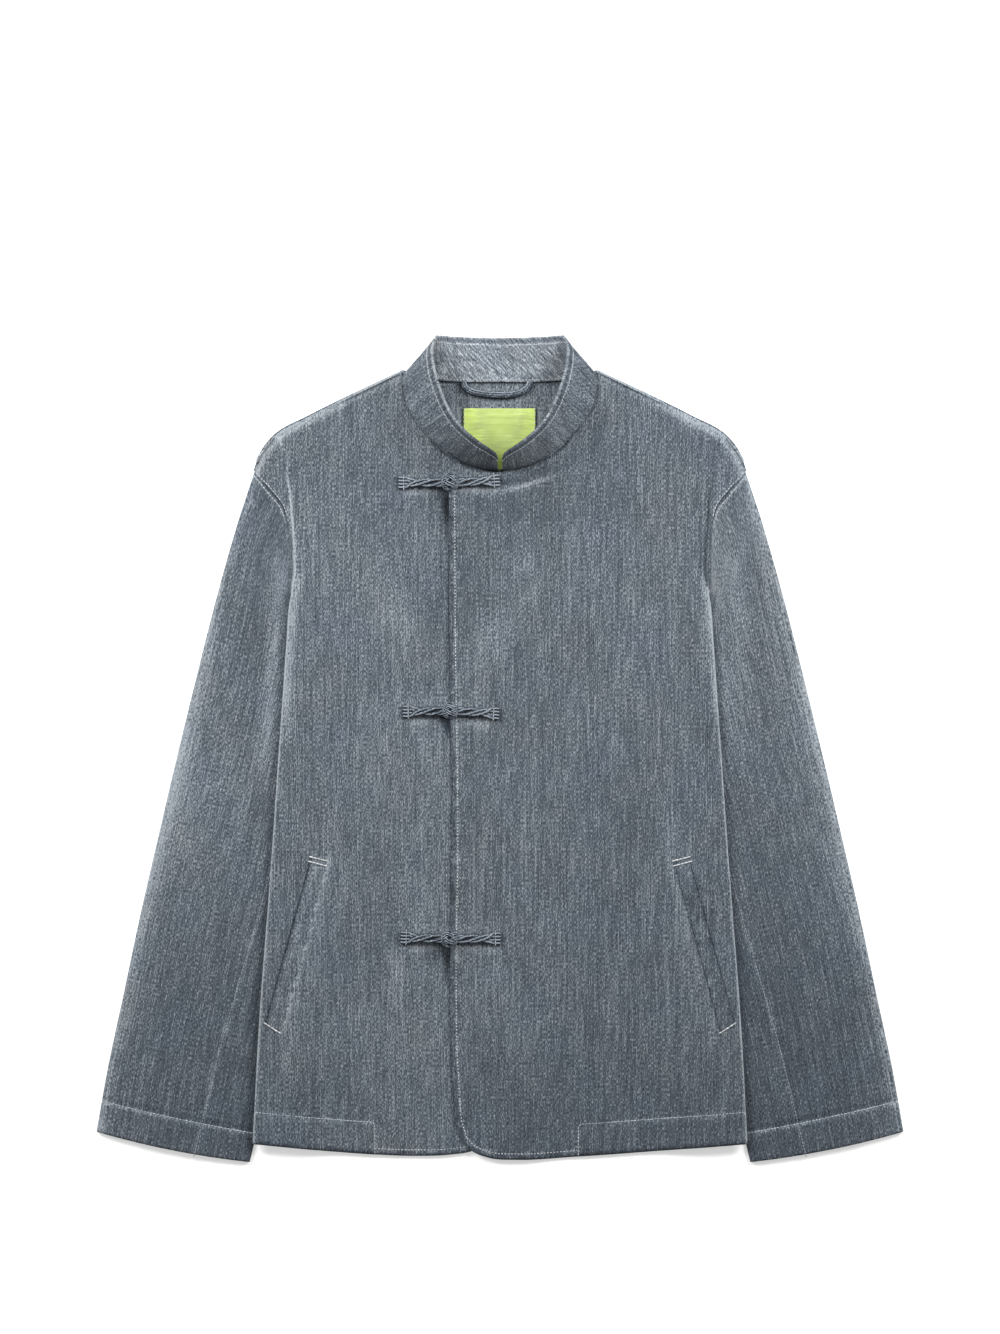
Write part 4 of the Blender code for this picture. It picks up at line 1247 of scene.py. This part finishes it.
def sleeve(name, side):
    """Sleeve: a tube pressed flat, open at the armhole and at the cuff."""
    share, beyond, level, on_top = sleeve_section()
    let_in = np.where(on_top, 1, level / SLEEVE_EDGE)
    plan, wanted, rise = sleeve_plan(share, beyond, let_in)
    x, y = plan[..., 0], plan[..., 1]
    across = (share * SLEEVE_WIDE)[None] + 0 * x
    crown = 1 - np.abs(2 * share - 1) ** 3
    form = SLEEVE_EDGE + (rise - SLEEVE_EDGE) * crown[None]
    from_body = x - edge_at(FOLD_EDGE, y)
    clear = smooth((from_body + 2) / 16)
    lies_x = x * side
    relief = lumpy(creased(SLEEVE_CREASES[side], lies_x, y), SLEEVE_LUMPS, lies_x, y)
    relief = at_least(relief, -SLEEVE_HOLLOW) * clear
    relief *= smooth(4 * np.minimum(share, 1 - share) / 0.35)[None]
    seam = stepped(SLEEVE_SEAM)
    away, place = seam_finder([seam])(x, y)
    aside = np.where(on_top[None], away, FAR)
    from_cuff = (wanted[-1] - wanted)[:, None] + 0 * x
    in_hem = smooth((CUFF_DEEP - from_cuff) / 2.5)
    roped = 0.4 * uneven(across + from_cuff * 0.6, from_cuff * 0.3, 7, 48)
    hem = sewn_down(np.abs(from_cuff - CUFF_DEEP), across, 46) + in_hem * (0.5 + roped)
    seam_form = sewn_down(aside, place, 44) + 0.5 * smooth(1 - np.abs(aside - 3.5) / 4)
    turned = smooth(1.6 - np.hypot(x - UNDERARM_TURN.x, y - UNDERARM_TURN.y) / UNDERARM_TURN_SIZE)
    face = form + relief + hem + seam_form * clear
    z = np.where(on_top[None], face, level[None] + WALL * turned)
    tuck = smooth(1 - wanted / SLEEVE_TUCK_RUN)[:, None] * (let_in > 0)
    seat = edge_at(SEAM_HEIGHT, y) - WALL - SLEEVE_TUCK_CLEAR
    under_edge = seat * let_in + WALL * turned * (1 - let_in)
    grid = np.dstack([plan, z + (under_edge - z) * tuck])
    around = np.linalg.norm(np.diff(np.concatenate([grid, grid[:, :1]], 1), axis=1), axis=2)
    around = np.concatenate([np.zeros((len(grid), 1)), np.cumsum(around, 1)], 1)
    centre = around[:, [len(share) - (SLEEVE_FOLD_STEPS - 1) // 2]]
    grain = np.dstack([around - centre, np.repeat(-wanted[:, None], around.shape[1], 1)])
    wash_and_light = sleeve_wear_and_shade(side, x, y, wanted, across, from_cuff, from_body, aside, place)
    if side == LEFT:
        wash_and_light = wash_and_light[:, ::-1]
    outward = [mirrored(rows[:, ::-1], side) for rows in (grid, grain)]
    cloth(name, *outward, wash_and_light, WALL, tube=True)
    cuff_row = int(np.argmin(np.abs(wanted[-1] - wanted - CUFF_DEEP)))
    cap_row = int(np.argmin(np.abs(wanted - CAP_STITCH)))
    return grid[:, on_top] * [side, 1, 1], seam * [side, 1], cuff_row, cap_row


def collar(name):
    """Stand collar: one band, flat behind the neck and standing at the front."""
    half = curve(COLLAR, even(COLLAR_HALF_STEPS))
    other = half[::-1][:-1] * np.array([-1, 1, 1, -1, 1, 1])
    rows = np.concatenate([other, half])
    along = running(rows[:, :2])
    base, top = rows[:, :3].copy(), rows[:, 3:].copy()
    base[:, 2] += COLLAR_BASE_LIFT * smooth((base[:, 1] - 322) / 14)
    from_end = np.minimum(along, along[-1] - along)
    drop = COLLAR_END_DROP * np.clip(1 - from_end / COLLAR_END_ROUND, 0, 1) ** 2.5
    top += (base - top) * drop[:, None]
    t = even(COLLAR_RISE_STEPS)[None, :, None]
    grid = base[:, None] * (1 - t) + top[:, None] * t
    up = np.linalg.norm(top - base, axis=1)[:, None] * t[..., 0]
    down = np.linalg.norm(top - base, axis=1)[:, None] - up
    face = unit(np.cross(np.gradient(grid, axis=0), np.gradient(grid, axis=1)))
    length = along[:, None] + 0 * up
    hold = np.sin(np.pi * t[..., 0])
    move = 0.45 * uneven(length, up * 0.35, 16, 61) * hold
    move += 0.32 * uneven(length + 0.5 * up, up * 0.2, 4.6, 62) * hold
    move = move + 0.3 * bump(down - COLLAR_STITCH, 1.3) + 0.3 * bump(up - 2.6, 1.4)
    grid = grid + face * move[..., None]
    # A darker strip between the rim and its stitches; a rim line, pale at the sides, that becomes
    # a painted shadow line in front; painted shade over the front; a pale stitch line; and a
    # painted shadow line at the foot in front
    strip = smooth(down / 1.5 - 0.6) * smooth((COLLAR_STITCH - down) / 1.2)
    ahead = smooth(1 - from_end / 90)[:, None]
    wash_and_light = (0.2 - 0.36 * ahead) * bump(down, 1.3) - 0.13 * strip - 0.075 * ahead + 0.02
    wash_and_light += (0.14 - 0.06 * ahead) * bump(down - COLLAR_STITCH, 1.1)
    wash_and_light = wash_and_light + 0.05 * uneven(length + 0.5 * up, up * 0.2, 4.6, 62) - 0.5 * ahead * bump(up, 1.6)
    # Painted light on the collar's ends and at one outer side, painted shade at the other, and
    # painted light on the wearer's left towards the front with painted shade on the right
    at_end = smooth(1 - from_end / 40)[:, None]
    wash_and_light += 0.17 * at_end * bump(up - 16, 11)
    x, y = grid[..., 0], grid[..., 1]
    wash_and_light += 0.1 * bump(x - 56, 10) * bump(y - 288, 16)
    wash_and_light -= 0.05 * bump(x + 51, 8) * bump(y - 308, 14)
    leaning = np.clip(x / 40, -1, 1)
    wash_and_light += leaning * (0.14 * ahead - 0.02)
    grain = np.dstack([length, up])
    cloth(name, grid, grain, wash_and_light, COLLAR_WALL, middle=True, lining=COLLAR_LINING)
    half_wall = face * (COLLAR_WALL / 2)
    return grid - half_wall, grid + half_wall


def pocket_welt(name, side):
    """Welt of a slanted pocket, let into the front so that it lies nearly flush."""
    top_open, low_open, low_sewn, top_sewn = (np.array(corner) for corner in WELT)
    v = even(WELT_ROWS)[:, None, None]
    u = 1 - (1 - even(WELT_COLUMNS)[None, :, None]) ** 1.6
    sewn_edge = low_sewn + (top_sewn - low_sewn) * v
    opening = low_open + (top_open - low_open) * v
    plan = sewn_edge + (opening - sewn_edge) * u
    x, y = plan[..., 0], plan[..., 1]
    from_seam = u[..., 0] * WELT_WIDE + 0 * x
    from_slit = WELT_WIDE - from_seam
    length = running(sewn_edge[:, 0])[:, None] + 0 * x
    hold = np.sin(np.pi * v[..., 0])
    soft = (0.3 * smooth(u[..., 0]) + 0.2 * uneven(length, from_seam, 11, 71)) * hold
    rolled = 0.75 * bump(from_seam, 1.4) + 0.4 * bump(from_slit, 1)
    face = front_top(x, y, side) + front_form(x * side, y, side) + WELT_PROUD + soft - rolled
    grid = np.dstack([plan, face])
    mottled = uneven(length, from_seam, 4, 72)
    wash_and_light = 0.1 * bump(from_seam, 2.5) * (0.4 + mottled) - 0.04
    if side == LEFT:
        # Painted shadow lines along the welt's seam and its slit; the pale lines are wear
        wash_and_light = wash_and_light + 0.09 * mottled - 0.12 * bump(from_seam, 0.9) - 0.16 * bump(from_slit, 0.9)
    else:
        wash_and_light = wash_and_light + 0.19 * bump(from_seam, 2.2) + 0.04 * bump(from_slit - 2.4, 1.5)
        wash_and_light += 0.13 * bump(from_seam - 8.5, 3.2) * (1 + 0.5 * mottled)
        # Painted shadow along the slit
        wash_and_light -= 0.32 * bump(from_slit, 0.9)
        wash_and_light = wash_and_light[:, ::-1]
    cloth(name, mirrored(grid, side), mirrored(plan, side), wash_and_light, WELT_WALL)
    return grid * [side, 1, 1]


def neck_label(name):
    """Bare neck label laid inside the back, with two faint creases across it."""
    rows = np.linspace(LABEL_BOTTOM, LABEL_TOP, LABEL_ROWS)
    columns = np.linspace(LABEL_LEFT, LABEL_RIGHT, LABEL_COLUMNS)
    y, x = np.meshgrid(rows, columns, indexing="ij")
    folds = 0.45 * bump(y - 305.6 - 0.02 * x, 1.6) + 0.35 * bump(y - 299 + 0.02 * x, 1.8)
    arch = np.sin(np.pi * (x - LABEL_LEFT) / (LABEL_RIGHT - LABEL_LEFT))
    swell = 0.12 * arch * smooth((y - 256) / 20)
    z = back_under(x, y) + WALL + LAID_ON + LABEL_WALL + folds + swell
    # Painted light: paler towards the label's foot and sides, where the collar shades it
    paler = smooth((296 - y) / 36) + 0.9 * smooth((np.abs(x) - 6) / 26)
    cloth(name, np.dstack([x, y, z]), np.dstack([x, y]), paler, LABEL_WALL, LABEL_CLOTH)


def hanger_loop(name):
    """Loop of folded cloth hung from the back neck seam: two rolled edges and a flat middle."""
    t = even(LOOP_STEPS)
    rise = WALL + LAID_ON + LOOP_HALF + LOOP_LIFT * np.sin(np.pi * t)
    path = np.column_stack([curve(LOOP, t), rise])
    up = np.tile([0, 0, 1], (len(path), 1))
    aside = np.cross(unit(np.gradient(path, axis=0)), up)
    paths = [path + aside * strand.away - up * strand.drop for strand in LOOP_STRANDS]
    radii = [np.full(len(path), strand.radius) for strand in LOOP_STRANDS]
    cords(name, paths, [up] * len(paths), radii, [strand.tone for strand in LOOP_STRANDS])


# A frog's cords: bars side by side where they are sewn, then two doubled cords in a twist
BAR, BAR_PITCH, BAR_RUN = 1.5, 3, 7
BAR_TIP, BAR_ROW_IN, BAR_ROW_STEPS = 1.4, 1.2, 24
TUBE, CORE, CORE_TIP, TWIST_EASE = 1.65, 1.3, 0.4, 6
PAIR_ANGLE, TWIST_OUT = 36, 2.9
STRAP_TURNS, STRAP_SQUASH = 0.68, 0.4
STRAP_STEPS = 80
# The core is painted darker: painted shade in the grooves between the cords
CORD_TONES = (0, 0, 0, 0, -0.5)
LOWER_LOOPS_DEEPER = 0.04


def strap(name, sewn_end, knot_end, side, deeper):
    """Half of a frog, and the place of the stitch row that holds its bars."""
    first, last = np.array(sewn_end), np.array(knot_end)
    line = first + (last - first) * even(STRAP_STEPS)[:, None]
    run = running(line)
    ahead = (line[-1] - line[0]) / run[-1]
    aside = np.array([-ahead[1], ahead[0]])
    twist = smooth((run - BAR_RUN) / TWIST_EASE)
    angle = 2 * np.pi * STRAP_TURNS * np.clip((run - BAR_RUN) / (run[-1] - BAR_RUN), 0, 1)
    base = front_face(line[:, 0], line[:, 1], side) + LAID_ON
    up = np.tile([0, 0, 1], (len(line), 1))
    tip = np.sqrt(np.clip(1 - (1 - np.clip(run / BAR_TIP, 0, 1)) ** 2, 0.05, 1))
    thick = (BAR + (TUBE - BAR) * twist) * tip
    middle = BAR + (TUBE - BAR + TWIST_OUT * STRAP_SQUASH) * twist
    paths, radii = [], []
    starts = (PAIR_ANGLE, -PAIR_ANGLE, 180 + PAIR_ANGLE, 180 - PAIR_ANGLE)
    for start, place in zip(starts, (1.5, 0.5, -0.5, -1.5)):
        around = np.radians(start) - angle
        across = (1 - twist) * place * BAR_PITCH + twist * TWIST_OUT * np.cos(around)
        rise = middle + twist * TWIST_OUT * STRAP_SQUASH * np.sin(around)
        paths.append(np.column_stack([line + across[:, None] * aside, base + rise]))
        radii.append(thick)
    paths.append(np.column_stack([line, base + middle]))
    radii.append(CORE_TIP + (CORE - CORE_TIP) * twist)
    k = int(np.argmin(np.abs(run - BAR_RUN + BAR_ROW_IN)))
    ends = np.linspace(-2, 2, BAR_ROW_STEPS)[:, None] * BAR_PITCH * aside
    top = base[k] + 2 * BAR + FRONT_THREAD_UP
    row = np.column_stack([line[k] + ends, np.full(BAR_ROW_STEPS, top)])
    tones = [tone - deeper for tone in CORD_TONES]
    cords(name, paths, [up] * 5, radii, tones)
    return row


KNOT_LEADS, KNOT_BIGHTS, KNOT_REACH = 4, 7, 66
KNOT_STRAND, KNOT_APART, KNOT_WEAVE = 0.85, 0.13, 0.8
KNOT_HEART_RING, KNOT_HEART = 0.3, 0.37
KNOT_LAID_ON, KNOT_SUNK, KNOT_SQUASH = 0.4, 0.85, 0.88
KNOT_STEPS, KNOT_ON_STRAP = 490, 1.5
# The heart is painted darker: painted shade in the gaps of the weave
KNOT_TONES = (0, 0, -0.6)


def knot(name, frog):
    """Ball knot of a frog: a doubled cord woven over and under itself round a heart."""
    t = 2 * np.pi * np.arange(KNOT_STEPS) / KNOT_STEPS
    height = front_top(frog.knot_x, frog.knot_y, LEFT) + KNOT_LAID_ON + frog.knot_r * KNOT_SUNK
    centre = [frog.knot_x, frog.knot_y, height]
    heart = np.stack([0 * t, np.cos(t), np.sin(t)], 1)
    paths, ups = [], []
    for shift in (-KNOT_APART, KNOT_APART):
        latitude = np.radians(KNOT_REACH) * np.sin(KNOT_BIGHTS * t)
        longitude = KNOT_LEADS * t
        d_lat = np.radians(KNOT_REACH) * KNOT_BIGHTS * np.cos(KNOT_BIGHTS * t)
        d_lon = KNOT_LEADS * np.cos(latitude)
        size = np.hypot(d_lat, d_lon)
        latitude = latitude - shift * d_lon / size
        longitude = longitude + shift * d_lat / size / np.maximum(np.cos(latitude), 0.4)
        ring = np.cos(latitude)
        out = np.stack([np.sin(latitude), ring * np.cos(longitude), ring * np.sin(longitude)], 1)
        over = np.cos(4 * KNOT_BIGHTS * t) * np.cos(KNOT_BIGHTS * t)
        reach = frog.knot_r - KNOT_STRAND - KNOT_WEAVE * (1 - over)
        place = out * reach[:, None] * [1, 1, KNOT_SQUASH]
        paths.append(place + centre)
        ups.append(out)
    paths.append(heart * KNOT_HEART_RING * frog.knot_r + centre)
    ups.append(heart)
    radii = [np.full(len(t), KNOT_STRAND)] * 2 + [np.full(len(t), KNOT_HEART * frog.knot_r)]
    cords(name, paths, ups, radii, KNOT_TONES, closed=True)


SIDE_NAMES = ((LEFT, "left"), (RIGHT, "right"))
UP = np.array([0, 0, 1])
back("back_panel")
for side, word in SIDE_NAMES:
    title = f"front_{word}"
    grid = front(title, side)
    edge, hem = (on_front(line, side) for line in FRONT_STITCHES[side])
    beside_fold = grid if side == LEFT else grid[:, ::-1]
    armhole = beside_fold[:, -ARMHOLE_STITCH] + FRONT_THREAD_UP * UP
    armhole = armhole[(armhole[:, 1] > CAP_STITCH_TO) & (armhole[:, 1] < CAP_STITCH_FROM)]
    edge = edge[edge[:, 1] < FROGS[0].knot_y]
    sewn(f"{title}_stitches", [hem, armhole])
    sewn(f"{title}_edge_stitches", [edge], WHITE_THREAD, DOT_STITCH)
for side, word in SIDE_NAMES:
    title = f"sleeve_{word}"
    top, seam, cuff_row, cap_row = sleeve(title, side)
    points = top.reshape(-1, 3)
    tree = plan_tree(points)
    seam_z = [points[tree.find((x, y, 0))[1]][2] for x, y in seam]
    cap = top[cap_row][top[cap_row][:, 1] > CAP_STITCH_TO]
    sewn(f"{title}_stitches", [line + SLEEVE_THREAD_UP * UP for line in (top[cuff_row], cap)])
    seam_line = np.column_stack([seam, seam_z]) + SLEEVE_THREAD_UP * UP
    sewn(f"{title}_seam_stitches", [seam_line], WORN_THREAD)
inside, outside = collar("collar_band")
rim = round(COLLAR_RISE_STEPS * (1 - COLLAR_STITCH / COLLAR_STAND))
sewn("collar_band_stitches", [inside[:, rim], outside[:, rim]])
sewn("neck_seam_stitches", [outside[:, NECK_SEAM_ROW]], WHITE_THREAD, DOT_STITCH)
for side, word in SIDE_NAMES:
    grid = pocket_welt(f"pocket_welt_{word}", side)
    lines = [line + WELT_THREAD_UP * UP for line in (grid[0], grid[-1], grid[-3])]
    sewn(f"pocket_welt_{word}_stitches", lines, WHITE_THREAD, BAR_TACK)
neck_label("neck_label")
label_rows = []
for x in (LABEL_LEFT + LABEL_STITCH_IN, LABEL_RIGHT - LABEL_STITCH_IN):
    y = np.linspace(LABEL_TOP - LABEL_STITCH_IN, LABEL_BOTTOM + LABEL_STITCH_IN, 50)
    z = 0 * y + WALL + LAID_ON + LABEL_WALL + LABEL_THREAD_UP
    label_rows.append(np.column_stack([0 * y + x, y, z]))
sewn("neck_label_stitches", label_rows, WHITE_THREAD, LABEL_STITCH)
hanger_loop("hanger_loop")
frog_rows = []
for number, frog in enumerate(FROGS, 1):
    near = frog.knot_r - KNOT_ON_STRAP
    for word, end, way, side in (
        ("loop", (frog.loop_x, frog.loop_y), -1, RIGHT),
        ("tail", (frog.tail_x, frog.tail_y), 1, LEFT),
    ):
        deeper = LOWER_LOOPS_DEEPER if word == "loop" and number > 1 else 0
        knot_end = (frog.knot_x + way * near, frog.knot_y)
        frog_rows.append(strap(f"frog_{number}_{word}", end, knot_end, side, deeper))
    knot(f"frog_{number}_knot", frog)
sewn("frog_stitches", frog_rows, THREAD, FROG_STITCH)

floor_mesh = bpy.data.meshes.new("floor")
corners = [(x * FLOOR_HALF, y * FLOOR_HALF, 0) for x, y in ((-1, -1), (1, -1), (1, 1), (-1, 1))]
floor_mesh.from_pydata(corners, [], [(0, 1, 2, 3)])
floor = finished("floor", floor_mesh, paper_floor("studio_paper", "FDFDFC"))

for word, side in (("left", -1), ("right", 1)):
    data = bpy.data.lights.new(f"soft_box_{word}", "AREA")
    data.shape = "RECTANGLE"
    data.size, data.size_y = SOFT_BOX_SIZE
    data.energy = SOFT_BOX_WATTS
    lamp = bpy.data.objects.new(f"soft_box_{word}", data)
    lamp.location = (side * SOFT_BOX_PLACE[0], *SOFT_BOX_PLACE[1:])
    lamp.rotation_euler = lamp.location.to_track_quat("Z", "Y").to_euler()
    bpy.context.scene.collection.objects.link(lamp)
world = bpy.data.worlds.new("studio")
world.use_nodes = True
background = world.node_tree.nodes["Background"]
fill(world.node_tree, background, {"Color": (1, 1, 1, 1), "Strength": WORLD_STRENGTH})
bpy.context.scene.world = world
bpy.context.scene.view_settings.view_transform = "Standard"

lens = bpy.data.cameras.new("camera")
lens.sensor_fit = "VERTICAL"
lens.sensor_height = SENSOR_MM
lens.lens = LENS_MM
camera = bpy.data.objects.new("camera", lens)
camera.location = (0, VIEW_MIDDLE_Y * MM, VIEW_HEIGHT * MM * LENS_MM / SENSOR_MM)
bpy.context.scene.collection.objects.link(camera)
bpy.context.scene.camera = camera

for title, piece in pieces.items():
    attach(piece, "root")
    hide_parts(title)
for title, piece in sewing.items():
    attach(piece, "root")
